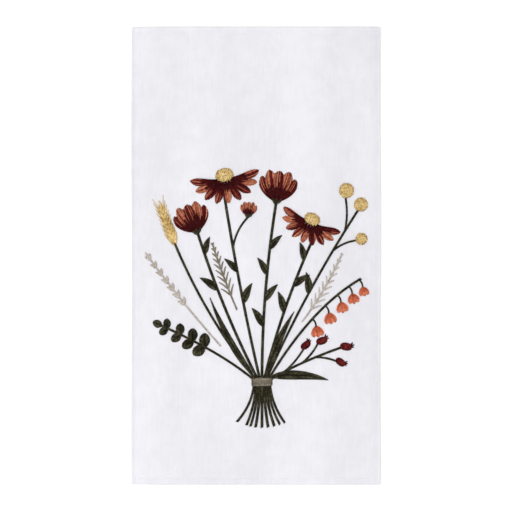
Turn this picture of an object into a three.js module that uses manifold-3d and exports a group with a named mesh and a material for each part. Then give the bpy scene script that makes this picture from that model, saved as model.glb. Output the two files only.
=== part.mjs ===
// Kitchen towel of plain cotton, folded lengthwise in three, with a spray of flowers embroidered on its face.
// Millimetres. X runs across the folded towel, Y along it towards its top hem and Z up.
// It lies on z = 0 with the embroidered panel on top, and its origin is the middle of its footprint.

import * as THREE from 'three';
import { mergeVertices } from 'three/addons/utils/BufferGeometryUtils.js';
import Module from 'manifold-3d';

const wasm = await Module();
wasm.setup();

// Driving dimensions of the cloth
const CUT_WIDTH = 685.8; // the cloth laid flat, from hem to hem
const LENGTH = 457.2;
const PANEL_WIDTH = 249; // the folded towel, from fold to fold
const SHEET = 1.0;
const LAYER_GAP = 0.6;
const HEM_DEPTH = 7;
const HEM_EXTRA = 0.15; // a hem is turned to the back of the cloth, so it thickens on that side alone
const LEFT_FOLD_RADIUS = 0.8; // at the middle of the sheet: this fold is pressed sharp
const RIGHT_FOLD_RADIUS = 1.2; // this one is left softer
const WAVE = 0.5; // how far the plain ends of the panel lift off the layer below
const FOLD_DRIFT = 0.5; // how far a fold line wanders from straight
const SKEW = 1.4; // the folded-in layers lie this much short of the panel's ends

// Driving dimensions of the embroidery
const CLEAR = 0.3; // the gap between threads of two colours
const FLOAT = 0.35; // the gap between the stitches and the cloth below them
const STITCH_RIDGE = 1.0; // height of satin stitch along the middle of a petal or leaf
const STEM_RIDGE = 0.9;
const DOME_HEIGHT = 1.6; // padded round centres and balls
const COLLAR = { height: 0.8, width: 2 }; // low ring round a coneflower's centre, where its petals join
const BLUNT = 0.25; // half the width of a stitched tip
const GATHER = { x: 6, y: -126 }; // where the stems are tied together
const TIE = { length: 21, width: 8 };
const STEM_END = 46; // from the middle of the tie to the cut ends

const THREADS = {
  olive: 0x34362a,
  burgundy: 0x62141f,
  rust: 0x924a38,
  gold: 0xddbb74,
  coral: 0xcc6240,
  taupe: 0x7e766a,
  greige: 0xb6aba0,
};

// Half-width along a stitched shape, as sin(PI * t ** skew) ** fullness of its widest half-width.
// segments is how many straight steps its outline has.
const FORMS = {
  stem: { skew: 0, fullness: 0, segments: 10 },
  twig: { skew: 0, fullness: 0, segments: 4 },
  willow: { skew: 0.75, fullness: 0.85, segments: 6 },
  petal: { skew: 1.7, fullness: 0.6, segments: 6 },
  lobe: { skew: 1.5, fullness: 0.6, segments: 4 },
  grain: { skew: 0.62, fullness: 0.75, segments: 4 },
  coin: { skew: 1.0, fullness: 0.5, segments: 6 },
  hair: { skew: 0.6, fullness: 0.5, segments: 2 },
};

const lift = THREE.MathUtils.smoothstep;
const half = { x: PANEL_WIDTH / 2, y: LENGTH / 2 };

// The towel is one ribbon: left flap, left fold, panel, right fold and right flap.
// Heights are of the middle of the sheet. The right flap lies flat on the ground.
const ground = SHEET / 2;
const flapLevel = ground + SHEET + LAYER_GAP;
const panelLevel = flapLevel + SHEET + LAYER_GAP;
const leftFoldX = -half.x + LEFT_FOLD_RADIUS + SHEET / 2;
const rightFoldX = half.x - RIGHT_FOLD_RADIUS - SHEET / 2;
const foldArcs = Math.PI * (LEFT_FOLD_RADIUS + RIGHT_FOLD_RADIUS);
const flapWidth = (CUT_WIDTH - foldArcs - (rightFoldX - leftFoldX)) / 2;
const leftFlapEdge = leftFoldX + flapWidth;
const rightFlapEdge = rightFoldX - flapWidth;

// Where the hidden flaps end, the cloth above sinks to the layer below.
const SINK = { flapStart: 3, flapRun: 16, panelBefore: 4, leftRun: 30, rightRun: 24 };

function leftFlapHeight(x) {
  const start = rightFlapEdge - SINK.flapStart;
  return THREE.MathUtils.lerp(ground, flapLevel, lift(x, start - SINK.flapRun, start));
}

function panelHeight(x) {
  const leftStart = rightFlapEdge + SINK.panelBefore;
  const rightStart = leftFlapEdge + SINK.panelBefore;
  const leftDrop = panelLevel - (ground + 2 * LEFT_FOLD_RADIUS);
  const rightDrop = panelLevel - (ground + 2 * RIGHT_FOLD_RADIUS);
  const left = 1 - lift(x, leftStart - SINK.leftRun, leftStart);
  const right = lift(x, rightStart, rightStart + SINK.rightRun);
  return panelLevel - leftDrop * left - rightDrop * right;
}

// Soft waves in the plain cloth above and below the embroidery
function panelWave(x, y) {
  const plain = lift(y, 96, 150) + 1 - lift(y, -212, -180);
  const across = 1 + Math.sin(x / 31 + y / 90 + 0.6);
  const along = 1 + Math.sin(y / 27 - x / 140);
  return WAVE * plain * across * along / 4;
}

function panelTop(x, y) {
  return panelHeight(x) + SHEET / 2 + panelWave(x, y);
}

// A fold line wanders inwards here and there, most at the fold itself.
function foldDrift(x, y) {
  const wander = (1 + Math.sin(y / 47 + Math.sign(x))) / 2;
  return FOLD_DRIFT * wander * x / half.x;
}

// Points along the ribbon's middle. layer is 1 on the panel and 0 on the flaps.
function ribbonPoints() {
  const points = [];
  const run = (from, to, steps, height, layer) => {
    for (let i = 0; i < steps; i += 1) {
      const x = THREE.MathUtils.lerp(from, to, i / steps);
      points.push({ x, z: height(x), layer });
    }
  };
  const turn = (centreX, radius, from, to, layers) => {
    const steps = 5;
    for (let i = 0; i < steps; i += 1) {
      const angle = THREE.MathUtils.lerp(from, to, i / steps);
      points.push({
        x: centreX + radius * Math.cos(angle),
        z: ground + radius + radius * Math.sin(angle),
        layer: THREE.MathUtils.lerp(layers[0], layers[1], i / steps),
      });
    }
  };
  const sinkStart = rightFlapEdge - SINK.flapStart;
  const sinkEnd = sinkStart - SINK.flapRun;
  const panelSink = rightFlapEdge + SINK.panelBefore;
  const rightSink = leftFlapEdge + SINK.panelBefore;
  run(leftFlapEdge, leftFlapEdge - HEM_DEPTH, 1, leftFlapHeight, 0);
  run(leftFlapEdge - HEM_DEPTH, sinkStart, 5, leftFlapHeight, 0);
  run(sinkStart, sinkEnd, 4, leftFlapHeight, 0);
  run(sinkEnd, leftFoldX, 1, leftFlapHeight, 0);
  turn(leftFoldX, LEFT_FOLD_RADIUS, -Math.PI / 2, -3 * Math.PI / 2, [0, 1]);
  run(leftFoldX, panelSink, 6, panelHeight, 1);
  run(panelSink, rightSink, 8, panelHeight, 1);
  run(rightSink, rightFoldX, 5, panelHeight, 1);
  turn(rightFoldX, RIGHT_FOLD_RADIUS, Math.PI / 2, -Math.PI / 2, [1, 0]);
  run(rightFoldX, rightFlapEdge + HEM_DEPTH, 6, () => ground, 0);
  run(rightFlapEdge + HEM_DEPTH, rightFlapEdge, 1, () => ground, 0);
  points.push({ x: rightFlapEdge, z: ground, layer: 0 });
  return points;
}

// Stations along the towel's length, with one at the inner edge of each end hem
function lengthStations() {
  const stations = [-half.y, -half.y + HEM_DEPTH];
  const steps = 14;
  for (let i = 1; i < steps; i += 1) {
    stations.push(THREE.MathUtils.lerp(-half.y + HEM_DEPTH, half.y - HEM_DEPTH, i / steps));
  }
  return [...stations, half.y - HEM_DEPTH, half.y];
}

function towelGeometry() {
  const path = ribbonPoints();
  const stations = lengthStations();
  const across = path.length - 1;
  const along = stations.length - 1;
  const geometry = new THREE.BoxGeometry(1, 1, 1, across, along, 1);
  const position = geometry.attributes.position;
  for (let k = 0; k < position.count; k += 1) {
    const i = Math.round((position.getX(k) + 0.5) * across);
    const j = Math.round((position.getY(k) + 0.5) * along);
    const outside = position.getZ(k) > 0;
    const point = path[i];
    const before = path[Math.max(0, i - 1)];
    const after = path[Math.min(across, i + 1)];
    const tangent = new THREE.Vector2(after.x - before.x, after.z - before.z).normalize();
    const isHem = j === 0 || j === along || i === 0 || i === across;
    const reach = outside ? SHEET / 2 : -SHEET / 2 - (isHem ? HEM_EXTRA : 0);
    const y = stations[j] * (1 - (1 - point.layer) * SKEW / half.y);
    const x = point.x - tangent.y * reach;
    const z = point.z + tangent.x * reach + point.layer * panelWave(point.x, y);
    position.setXYZ(k, x - foldDrift(point.x, y), y, z);
  }
  return geometry;
}

// A closed body from a three.js geometry: only positions are kept, and shared corners are merged.
function solid(geometry) {
  const plain = geometry.clone();
  plain.deleteAttribute('normal');
  plain.deleteAttribute('uv');
  const merged = mergeVertices(plain, 1e-4);
  return new wasm.Manifold(new wasm.Mesh({
    numProp: 3,
    vertProperties: new Float32Array(merged.attributes.position.array),
    triVerts: new Uint32Array(merged.index.array),
  }));
}

function geometryOf(body) {
  const mesh = body.getMesh();
  const geometry = new THREE.BufferGeometry();
  geometry.setAttribute('position', new THREE.BufferAttribute(new Float32Array(mesh.vertProperties), 3));
  geometry.setIndex(new THREE.BufferAttribute(new Uint32Array(mesh.triVerts), 1));
  return geometry;
}

const radians = THREE.MathUtils.degToRad;
const at = (x, y) => new THREE.Vector2(x, y);
const towards = (degrees, length = 1) => at(length, 0).rotateAround(at(0, 0), radians(degrees));
const heading = (spine, t) => THREE.MathUtils.radToDeg(spine.getTangent(t).angle());
const curve = (points) => new THREE.QuadraticBezierCurve(...points.map(([x, y]) => at(x, y)));

// A bowed line from start: its chord lies at degrees, and bend of its length bulges to the left.
function bow(start, degrees, length, bend = 0) {
  const middle = start.clone().add(towards(degrees, length / 2)).add(towards(degrees + 90, bend * length));
  return new THREE.QuadraticBezierCurve(start, middle, start.clone().add(towards(degrees, length)));
}

// The stretch of a quadratic curve between two of its parameters
function stretch(spine, from, to) {
  const middle = at(0, 0);
  middle.addScaledVector(spine.v0, (1 - from) * (1 - to));
  middle.addScaledVector(spine.v1, from * (1 - to) + to * (1 - from));
  middle.addScaledVector(spine.v2, from * to);
  return new THREE.QuadraticBezierCurve(spine.getPoint(from), middle, spine.getPoint(to));
}

function halfWidth(form, width, t) {
  if (form.fullness === 0) return width / 2;
  const swell = Math.max(0, Math.sin(Math.PI * t ** form.skew));
  return Math.max(BLUNT, swell ** form.fullness * width / 2);
}

// A band of satin stitch: a three-sided bar laid along its spine, flat below and ridged above.
function band(spine, width, form) {
  const geometry = new THREE.CylinderGeometry(1, 1, 1, 3, form.segments);
  const position = geometry.attributes.position;
  const ridge = form.fullness === 0 ? STEM_RIDGE : STITCH_RIDGE;
  for (let k = 0; k < position.count; k += 1) {
    const t = THREE.MathUtils.clamp(position.getY(k) + 0.5, 0, 1);
    const reach = halfWidth(form, width, t);
    const side = position.getX(k) / Math.sin(Math.PI / 3) * reach;
    const height = (position.getZ(k) + 0.5) / 1.5 * ridge * Math.min(1, 0.35 + reach / 2);
    const centre = spine.getPoint(t);
    const along = spine.getTangent(t);
    position.setXYZ(k, centre.x + along.y * side, centre.y - along.x * side, height);
  }
  return solid(geometry);
}

// A padded round of stitches: an oval dome whose far end lies at degrees from start
function dome(start, degrees, length, width, height = DOME_HEIGHT) {
  const profile = [[0, 0], [1, 0], [0.92, 0.45], [0.6, 0.85], [0, 1]];
  const geometry = new THREE.LatheGeometry(profile.map(([r, h]) => at(r, h)), 14);
  geometry.rotateX(Math.PI / 2);
  geometry.scale(length / 2, width / 2, height);
  geometry.rotateZ(radians(degrees));
  const centre = start.clone().add(towards(degrees, length / 2));
  geometry.translate(centre.x, centre.y, 0);
  return solid(geometry);
}

// Clears a round or square place through a stitched piece, for what is stitched in its middle
function clear(name, geometry, degrees, centre) {
  geometry.rotateZ(radians(degrees));
  geometry.translate(centre.x, centre.y, 0);
  const piece = pieces.get(name);
  piece.body = piece.body.subtract(solid(geometry));
}

// Every stitched piece: the name of its node, its thread and the bodies that it is fused from
const pieces = new Map();

function stitch(name, thread, ...bodies) {
  if (!pieces.has(name)) pieces.set(name, { thread, body: bodies.shift() });
  const piece = pieces.get(name);
  for (const body of bodies) {
    piece.body = piece.body.add(body);
  }
}

function stemEnd(offset, lean, width) {
  const start = at(GATHER.x - offset, GATHER.y - TIE.width / 4);
  const length = STEM_END - TIE.width / 4 - 3 * Math.sin(offset * 1.7) ** 2;
  const end = start.clone().add(towards(270 + 0.42 * (lean - 90), length));
  const middle = at(start.x + (end.x - start.x) * 0.1, start.y - length / 2);
  stitch('stem_ends', 'olive', band(new THREE.QuadraticBezierCurve(start, middle, end), width, FORMS.twig));
}

// A stem from the tie to its flower. It leaves the tie at lean degrees and bends after reach of its length.
function stem({ offset, lean, tip, width, reach = 0.5, drawn = 1 }) {
  const start = at(GATHER.x + offset, GATHER.y + TIE.width / 4);
  const middle = start.clone().add(towards(lean, reach * start.distanceTo(at(...tip))));
  const spine = new THREE.QuadraticBezierCurve(start, middle, at(...tip));
  stitch('greenery', 'olive', band(stretch(spine, 0, drawn), width, FORMS.stem));
  stemEnd(offset, lean, width);
  return spine;
}

function branch(parent, t, degrees, length, bend, width) {
  const spine = bow(parent.getPoint(t), heading(parent, t) + degrees, length, bend);
  stitch('greenery', 'olive', band(spine, width, FORMS.twig));
  return spine;
}

// Leaves, grains or buds along a stem, in pairs or by turns on either side
function leaves(name, thread, parent, row) {
  for (let i = 0; i < row.count; i += 1) {
    const f = row.count > 1 ? i / (row.count - 1) : 0;
    const t = THREE.MathUtils.lerp(row.first, row.last, f);
    const size = THREE.MathUtils.lerp(1, row.taper, f);
    const pair = row.side ? [row.side * (i % 2 ? -1 : 1)] : [1, -1];
    for (const side of pair) {
      const degrees = heading(parent, t) + side * row.spread;
      const spine = bow(parent.getPoint(t), degrees, row.length * size, -side * row.bend);
      stitch(name, thread, band(spine, row.width * size, FORMS[row.form]));
    }
  }
  if (row.tipped) {
    const spine = bow(parent.getPoint(1), heading(parent, 1), row.length * row.taper);
    stitch(name, thread, band(spine, row.width * row.taper, FORMS[row.form]));
  }
}

// A coneflower: drooping petals below a padded cone
function coneflower(name, { x, y, turn, size }) {
  const petals = 9;
  const centre = at(x, y);
  for (let i = 0; i < petals; i += 1) {
    const f = 2 * i / (petals - 1) - 1;
    const root = centre.clone().addScaledVector(towards(turn + 90), -f * size * 0.15);
    const spine = bow(root, turn + 180 + f * 96, size * (0.56 + 0.06 * Math.abs(f)), -f * 0.16);
    stitch(name, 'burgundy', band(spine, size * 0.17, FORMS.petal));
  }
  const cone = { length: size * 0.3, width: size * 0.4 };
  const start = centre.clone().addScaledVector(towards(turn), -size * 0.08);
  const collarStart = start.clone().addScaledVector(towards(turn), -COLLAR.width);
  const collarLength = cone.length + 2 * COLLAR.width;
  const collarWidth = cone.width + 2 * COLLAR.width;
  stitch(name, 'burgundy', dome(collarStart, turn, collarLength, collarWidth, COLLAR.height));
  const room = new THREE.CylinderGeometry(1, 1, 4 * DOME_HEIGHT, 14).rotateX(Math.PI / 2);
  room.scale(cone.length / 2 + CLEAR, cone.width / 2 + CLEAR, 1);
  clear(name, room, turn, start.clone().add(towards(turn, cone.length / 2)));
  stitch(`${name}_cone`, 'gold', dome(start, turn, cone.length, cone.width));
}

// A poppy seen from the side: petals that overlap into a cup
function poppy(name, thread, { x, y, turn, size }) {
  const petals = [
    { open: -1, width: 0.3, length: 0.9 },
    { open: 1, width: 0.3, length: 0.9 },
    { open: -0.5, width: 0.34, length: 1 },
    { open: 0.5, width: 0.34, length: 1 },
    { open: 0, width: 0.38, length: 0.96 },
  ];
  for (const { open, width, length } of petals) {
    const spine = bow(at(x, y), turn + open * 34, size * length, open * 0.16);
    stitch(name, thread, band(spine, size * width, size > 20 ? FORMS.petal : FORMS.lobe));
  }
}

function bell(name, parent, t, drop, size) {
  const stalk = bow(parent.getPoint(t), -60, drop, 0.22);
  stitch('greenery', 'olive', band(stalk, 1.4, FORMS.twig));
  const mouth = -78;
  const start = stalk.getPoint(1).add(towards(mouth, 0.7));
  for (const open of [-1, 1, 0]) {
    stitch(name, 'coral', band(bow(start, mouth + open * 22, size, open * 0.12), size * 0.46, FORMS.lobe));
  }
}

// A rose hip: a padded oval with the dried sepals at its end
function hip(name, tip, turn, size) {
  const start = tip.clone().add(towards(turn, 0.6));
  stitch(name, 'burgundy', dome(start, turn, size, size * 0.8));
  const crown = start.clone().add(towards(turn, size * 0.85));
  for (const open of [-1, 0, 1]) {
    stitch(name, 'burgundy', band(bow(crown, turn + open * 36, size * 0.42), 1.6, FORMS.hair));
  }
}

// A grass plume: fine hairs on either side of its own stalk
function plume(name, thread, points, length) {
  const spine = curve(points);
  const rows = 9;
  stitch(name, thread, band(spine, 1.5, FORMS.stem));
  for (let i = 0; i < rows; i += 1) {
    const f = i / (rows - 1);
    const t = THREE.MathUtils.lerp(0.2, 0.98, f);
    const size = Math.sin(Math.PI * THREE.MathUtils.lerp(0.5, 0.93, f));
    for (const side of [1, -1]) {
      const hair = bow(spine.getPoint(t), heading(spine, t) + side * 32, length * size, -side * 0.1);
      stitch(name, thread, band(hair, 1.8, FORMS.hair));
    }
  }
}

// Stems in the order of their heads, from left to right
const eucalyptus = stem({ offset: -8, lean: 140, tip: [-94, -70], width: 2.2, reach: 0.4 });
const wheat = stem({ offset: -6, lean: 129, tip: [-94, 46], width: 2.2, drawn: 0.805 });
const poppyLeft = stem({ offset: -4, lean: 117, tip: [-58, 22], width: 2.6 });
const coneLeft = stem({ offset: -2, lean: 103, tip: [-30, 50], width: 2.6 });
const poppyTop = stem({ offset: 0, lean: 90, tip: [20, 52], width: 2.6 });
const coneRight = stem({ offset: 2, lean: 76, tip: [53, 8], width: 2.6 });
const globes = stem({ offset: 4, lean: 66, tip: [101, 44], width: 2.2 });
const bells = stem({ offset: 6, lean: 59, tip: [103, -24], width: 2.2, reach: 0.62 });
const hips = stem({ offset: 8, lean: 32, tip: [84, -92], width: 2.2, reach: 0.4 });

// Leaves by turns along the flower stems. side is where the lowest one points: 1 is left.
const willow = { form: 'willow', length: 22, width: 7.2, spread: 34, bend: 0.12, taper: 0.85 };
const LEAFY = [
  { on: poppyLeft, first: 0.62, last: 0.86, count: 2, side: 1 },
  { on: coneLeft, first: 0.44, last: 0.62, count: 2, side: -1 },
  { on: poppyTop, first: 0.3, last: 0.74, count: 4, side: 1 },
  { on: coneRight, first: 0.5, last: 0.9, count: 3, side: 1 },
  { on: globes, first: 0.5, last: 0.5, count: 1, side: 1 },
];
for (const { on, ...row } of LEAFY) {
  leaves('greenery', 'olive', on, { ...willow, ...row });
}
const coin = { form: 'coin', length: 14, width: 11, spread: 62, bend: 0.1, taper: 0.7, tipped: true };
leaves('greenery', 'olive', eucalyptus, { ...coin, first: 0.6, last: 0.95, count: 4 });

// Long strap leaves that rise from the tie, each through its start, its bend and its tip
const STRAPS = [
  { points: [[-3, -119], [-27, -90], [-46, -42]], width: 6.5 },
  { points: [[14, -121], [44, -116], [72, -124]], width: 9 },
  { points: [[10, -119], [20, -86], [38, -56]], width: 7 },
];
for (const { points, width } of STRAPS) {
  stitch('greenery', 'olive', band(curve(points), width, FORMS.willow));
}

coneflower('coneflower_left', { x: -31, y: 77.5, turn: 99, size: 46 });
coneflower('coneflower_right', { x: 55, y: 34, turn: 66, size: 41 });
poppy('poppy_left', 'burgundy', { x: -58.4, y: 23, turn: 112, size: 32 });
poppy('poppy_top', 'burgundy', { x: 20.3, y: 53.1, turn: 84, size: 34 });

const budStalk = branch(coneLeft, 0.76, -36, 34, 0.16, 1.8);
poppy('poppy_bud', 'rust', { x: budStalk.v2.x + 0.2, y: budStalk.v2.y + 1.1, turn: 86, size: 15 });

// Gold balls, one on the stem itself and one on each branch
const topBranch = branch(globes, 0.88, 30, 32, -0.1, 1.8);
const lowBranch = branch(globes, 0.76, -34, 24, 0.14, 1.8);
const GLOBES = [
  { on: globes, turn: 62, size: 14 },
  { on: topBranch, turn: 85, size: 15 },
  { on: lowBranch, turn: 15, size: 12 },
];
GLOBES.forEach(({ on, turn, size }, i) => {
  const start = on.getPoint(1).add(towards(turn, 1.2));
  stitch(`globe_${i + 1}`, 'gold', dome(start, turn, size, size));
});

const grain = { form: 'grain', length: 13, width: 5, spread: 26, bend: 0.06, taper: 0.72, tipped: true };
leaves('wheat_ear', 'gold', wheat, { ...grain, first: 0.815, last: 0.98, count: 7 });

const BELLS = [
  { t: 0.5, size: 12 },
  { t: 0.64, size: 12 },
  { t: 0.77, size: 11.5 },
  { t: 0.89, size: 11 },
  { t: 1, size: 10 },
];
BELLS.forEach(({ t, size }, i) => bell(`bell_${i + 1}`, bells, t, 7, size));

const HIPS = [
  { on: hips, turn: 12, size: 11 },
  { on: branch(hips, 0.52, 26, 24, -0.1, 1.6), turn: 40, size: 10.5 },
  { on: branch(hips, 0.7, -32, 20, 0.1, 1.6), turn: -14, size: 10 },
  { on: branch(hips, 0.26, 22, 28, -0.08, 1.6), turn: 60, size: 10 },
];
HIPS.forEach(({ on, turn, size }, i) => hip(`hip_${i + 1}`, on.getPoint(1), turn, size));

// Lavender and plumes have their own paler stalks, which come out from behind the green ones.
const lavender = stretch(curve([[-10, -117], [-58, -68], [-107, -2]]), 0.26, 1);
const bud = { form: 'grain', length: 8, width: 3.4, spread: 30, bend: 0.06, taper: 0.8, tipped: true };
stitch('lavender', 'greige', band(lavender, 1.6, FORMS.stem));
leaves('lavender', 'greige', lavender, { ...bud, first: 0.5, last: 0.98, count: 7 });
plume('plume_left', 'taupe', [[-19, -54], [-33.5, -20], [-43.5, 12]], 13);
plume('plume_right', 'greige', [[46, -66], [68, -38], [86, 2]], 12);

// The tie crosses all the stems, which stop short of it above and below.
const tieStart = at(GATHER.x - TIE.length / 2, GATHER.y);
stitch('tie', 'taupe', band(bow(tieStart, 0, TIE.length), TIE.width, FORMS.twig));
for (const name of ['greenery', 'stem_ends']) {
  const room = new THREE.BoxGeometry(2 * TIE.length, TIE.width + 2 * CLEAR, 4 * DOME_HEIGHT);
  clear(name, room, 0, GATHER);
}

// Lays a flat stitched body on the panel
function drape(geometry) {
  const position = geometry.attributes.position;
  for (let k = 0; k < position.count; k += 1) {
    const x = position.getX(k);
    const y = position.getY(k);
    position.setZ(k, position.getZ(k) + panelTop(x, y) + FLOAT);
  }
  return geometry;
}

const kitchenTowel = new THREE.Group();
kitchenTowel.name = 'kitchen_towel';

function addPiece(name, geometry, colour, roughness) {
  geometry.computeVertexNormals();
  const material = new THREE.MeshStandardMaterial({ color: colour, roughness, metalness: 0 });
  const mesh = new THREE.Mesh(geometry, material);
  mesh.name = name;
  kitchenTowel.add(mesh);
}

addPiece('towel', towelGeometry(), 0xeeedf3, 0.95);
for (const [name, { thread, body }] of pieces) {
  addPiece(name, drape(geometryOf(body)), THREADS[thread], 0.6);
}

export default kitchenTowel;
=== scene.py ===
import math

import bmesh
import bpy
import numpy as np
from mathutils import Matrix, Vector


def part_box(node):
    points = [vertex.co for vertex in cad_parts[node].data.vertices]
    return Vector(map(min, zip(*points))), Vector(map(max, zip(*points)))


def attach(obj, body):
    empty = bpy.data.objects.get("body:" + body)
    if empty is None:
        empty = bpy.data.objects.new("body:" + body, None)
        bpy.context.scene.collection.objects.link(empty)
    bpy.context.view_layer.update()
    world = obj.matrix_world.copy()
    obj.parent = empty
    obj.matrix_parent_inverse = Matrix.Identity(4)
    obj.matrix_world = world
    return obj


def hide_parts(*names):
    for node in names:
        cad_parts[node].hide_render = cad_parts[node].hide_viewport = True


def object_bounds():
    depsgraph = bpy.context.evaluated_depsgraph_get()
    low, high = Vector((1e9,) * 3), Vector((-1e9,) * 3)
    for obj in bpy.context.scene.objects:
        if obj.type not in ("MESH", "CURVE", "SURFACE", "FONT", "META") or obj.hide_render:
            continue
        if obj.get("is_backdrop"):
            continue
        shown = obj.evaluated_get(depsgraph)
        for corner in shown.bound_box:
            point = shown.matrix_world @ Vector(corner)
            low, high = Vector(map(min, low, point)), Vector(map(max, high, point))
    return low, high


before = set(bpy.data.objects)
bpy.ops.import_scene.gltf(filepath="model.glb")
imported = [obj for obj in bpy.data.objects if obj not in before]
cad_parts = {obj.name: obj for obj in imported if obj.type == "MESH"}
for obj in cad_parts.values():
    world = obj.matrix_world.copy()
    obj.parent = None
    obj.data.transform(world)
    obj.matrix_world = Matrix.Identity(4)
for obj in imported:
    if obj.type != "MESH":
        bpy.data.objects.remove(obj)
cad_low, cad_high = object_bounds()

# Camera
# The photograph looks straight down on the towel. A pixel is about a millimetre on the cloth, so the
# square picture shows 511 mm, and a long lens keeps the towel's edges upright.
MM = 0.001
towel_low, towel_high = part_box("towel")
SHOWN = 511.4 * MM
LENS = 100
SENSOR = 36
ABOVE_MIDDLE = 0.2 * MM  # the towel's middle lies this far above the picture's

camera_data = bpy.data.cameras.new("camera")
camera_data.lens = LENS
camera_data.sensor_width = SENSOR
camera = bpy.data.objects.new("camera", camera_data)
camera.location = (0, -ABOVE_MIDDLE, towel_high.z + SHOWN * LENS / SENSOR)
bpy.context.scene.collection.objects.link(camera)
bpy.context.scene.camera = camera
bpy.context.scene.view_settings.view_transform = "Standard"

# Light
# Plain soft studio light: an even white surround that lifts the shadows, and a large soft box above
# the towel and a little to its upper left, which is what shows the cloth's relief.
SURROUND = 0.93
SOFT_BOX = {"place": (-0.4, -0.12, 1.37), "side": 1.1, "watts": 8.5}

world = bpy.data.worlds.new("studio_surround")
bpy.context.scene.world = world
world.use_nodes = True
surround = world.node_tree.nodes["Background"]
surround.inputs["Color"].default_value = (1, 1, 1, 1)
surround.inputs["Strength"].default_value = SURROUND

soft_box_data = bpy.data.lights.new("soft_box", "AREA")
soft_box_data.shape = "SQUARE"
soft_box_data.size = SOFT_BOX["side"]
soft_box_data.energy = SOFT_BOX["watts"]
soft_box = bpy.data.objects.new("soft_box", soft_box_data)
soft_box.location = SOFT_BOX["place"]
soft_box.rotation_euler = soft_box.location.to_track_quat("Z", "Y").to_euler()
bpy.context.scene.collection.objects.link(soft_box)


# Floor
# A wide sheet of matte white background paper that the towel lies on. Paper scatters light evenly,
# so it reads as plain white up to the towel's edge.
PAPER_SIDE = 8.0
PAPER_BELOW = 0.15 * MM


def linear(code):
    """A colour from its sRGB hex value"""
    shares = [int(code[k:k + 2], 16) / 255 for k in (1, 3, 5)]
    return (*(s / 12.92 if s <= 0.04045 else ((s + 0.055) / 1.055) ** 2.4 for s in shares), 1.0)


def add_node(tree, kind, inputs=None, **settings):
    """Adds a node, sets it and fills its inputs, each with a value or another node's output"""
    node = tree.nodes.new(kind)
    for name, value in settings.items():
        setattr(node, name, value)
    for name, value in (inputs or {}).items():
        if isinstance(value, bpy.types.NodeSocket):
            tree.links.new(value, node.inputs[name])
        else:
            node.inputs[name].default_value = value
    return node


def add_object(name, mesh, material):
    """Puts a mesh into the scene as one smooth piece"""
    piece = bpy.data.objects.new(name, mesh)
    bpy.context.scene.collection.objects.link(piece)
    mesh.materials.append(material)
    mesh.shade_smooth()
    return piece


def matte_paper():
    """Uncoated white paper: no gloss, with the faint cloudiness of its fibres"""
    material = bpy.data.materials.new("matte_paper")
    material.use_nodes = True
    tree = material.node_tree
    shader = tree.nodes["Principled BSDF"]
    shader.inputs["Roughness"].default_value = 1.0
    shader.inputs["Specular IOR Level"].default_value = 0.0
    place = add_node(tree, "ShaderNodeTexCoord")
    clouds = add_node(tree, "ShaderNodeTexNoise", {"Vector": place.outputs["Object"], "Scale": 9.0})
    shades = {0: clouds.outputs["Fac"], 6: linear("#F9F9F9"), 7: linear("#FCFCFC")}
    tint = add_node(tree, "ShaderNodeMix", shades, data_type="RGBA")
    tree.links.new(tint.outputs[2], shader.inputs["Base Color"])
    return material


bm = bmesh.new()
bmesh.ops.create_grid(bm, x_segments=1, y_segments=1, size=PAPER_SIDE / 2)
bmesh.ops.translate(bm, verts=bm.verts, vec=(0, 0, -PAPER_BELOW))
paper_mesh = bpy.data.meshes.new("floor")
bm.to_mesh(paper_mesh)
bm.free()
floor = add_object("floor", paper_mesh, matte_paper())
floor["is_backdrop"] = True


# Towel
# One piece of plain-woven white cotton, 27 by 18 inches, hemmed on its four sides and pressed in three
# lengthwise. It is one ribbon: the left flap, a sharp fold, the panel, a softer fold and the right flap.
CUT_WIDTH = 685.8  # the cloth laid flat, from hem to hem
LENGTH = round((towel_high.y - towel_low.y) / MM, 1)
PANEL_WIDTH = 249.0
SHEET = 1.0  # room that one layer takes
LAYER_GAP = 0.6
LEFT_FOLD_RADIUS = 0.8
RIGHT_FOLD_RADIUS = 1.2
WAVE = 0.5  # how far the plain ends of the panel lift off the layer below
PLAIN_TOP = (96, 150)  # the plain cloth above the embroidery starts over this stretch of y
PLAIN_BOTTOM = (-212, -180)
FOLD_DRIFT = 0.5  # how far a fold line wanders from straight
FOLD_DRIFT_RUN = 47.0  # along the fold, for a radian of that
FOLD_SQUARENESS = 0.85  # below 1, ironing has flattened the round of a fold
SKEW = 1.4  # the folded-in layers lie this much short of the panel's ends
HEM_DEPTH = 7.0
HEM_THICKNESS = 0.95  # three layers of cloth
CLOTH_THICKNESS = 0.6
HEM_SEAM = 6.0  # from a hem's edge to its row of stitches
HEM_GROOVE = {"depth": 0.05, "width": 0.7}
HEM_STEP = 0.05  # the cloth past a hem lies this much lower
HEM_ROUND = {"depth": 0.12, "width": 0.6}

half_x = PANEL_WIDTH / 2
half_y = LENGTH / 2
ground = SHEET / 2
flap_level = ground + SHEET + LAYER_GAP
panel_level = flap_level + SHEET + LAYER_GAP
left_fold_x = -half_x + LEFT_FOLD_RADIUS + SHEET / 2
right_fold_x = half_x - RIGHT_FOLD_RADIUS - SHEET / 2
fold_arcs = math.pi * (LEFT_FOLD_RADIUS + RIGHT_FOLD_RADIUS)
flap_width = (CUT_WIDTH - fold_arcs - (right_fold_x - left_fold_x)) / 2
left_flap_edge = left_fold_x + flap_width
right_flap_edge = right_fold_x - flap_width

# Where the hidden flaps end, the cloth above sinks to the layer below.
FLAP_START = 3.0
FLAP_RUN = 16.0
PANEL_BEFORE = 4.0
LEFT_RUN = 30.0
RIGHT_RUN = 24.0


def lift(value, low, high):
    """0 below low, 1 above high and a smooth rise between"""
    share = np.clip((value - low) / (high - low), 0, 1)
    return share * share * (3 - 2 * share)


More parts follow.
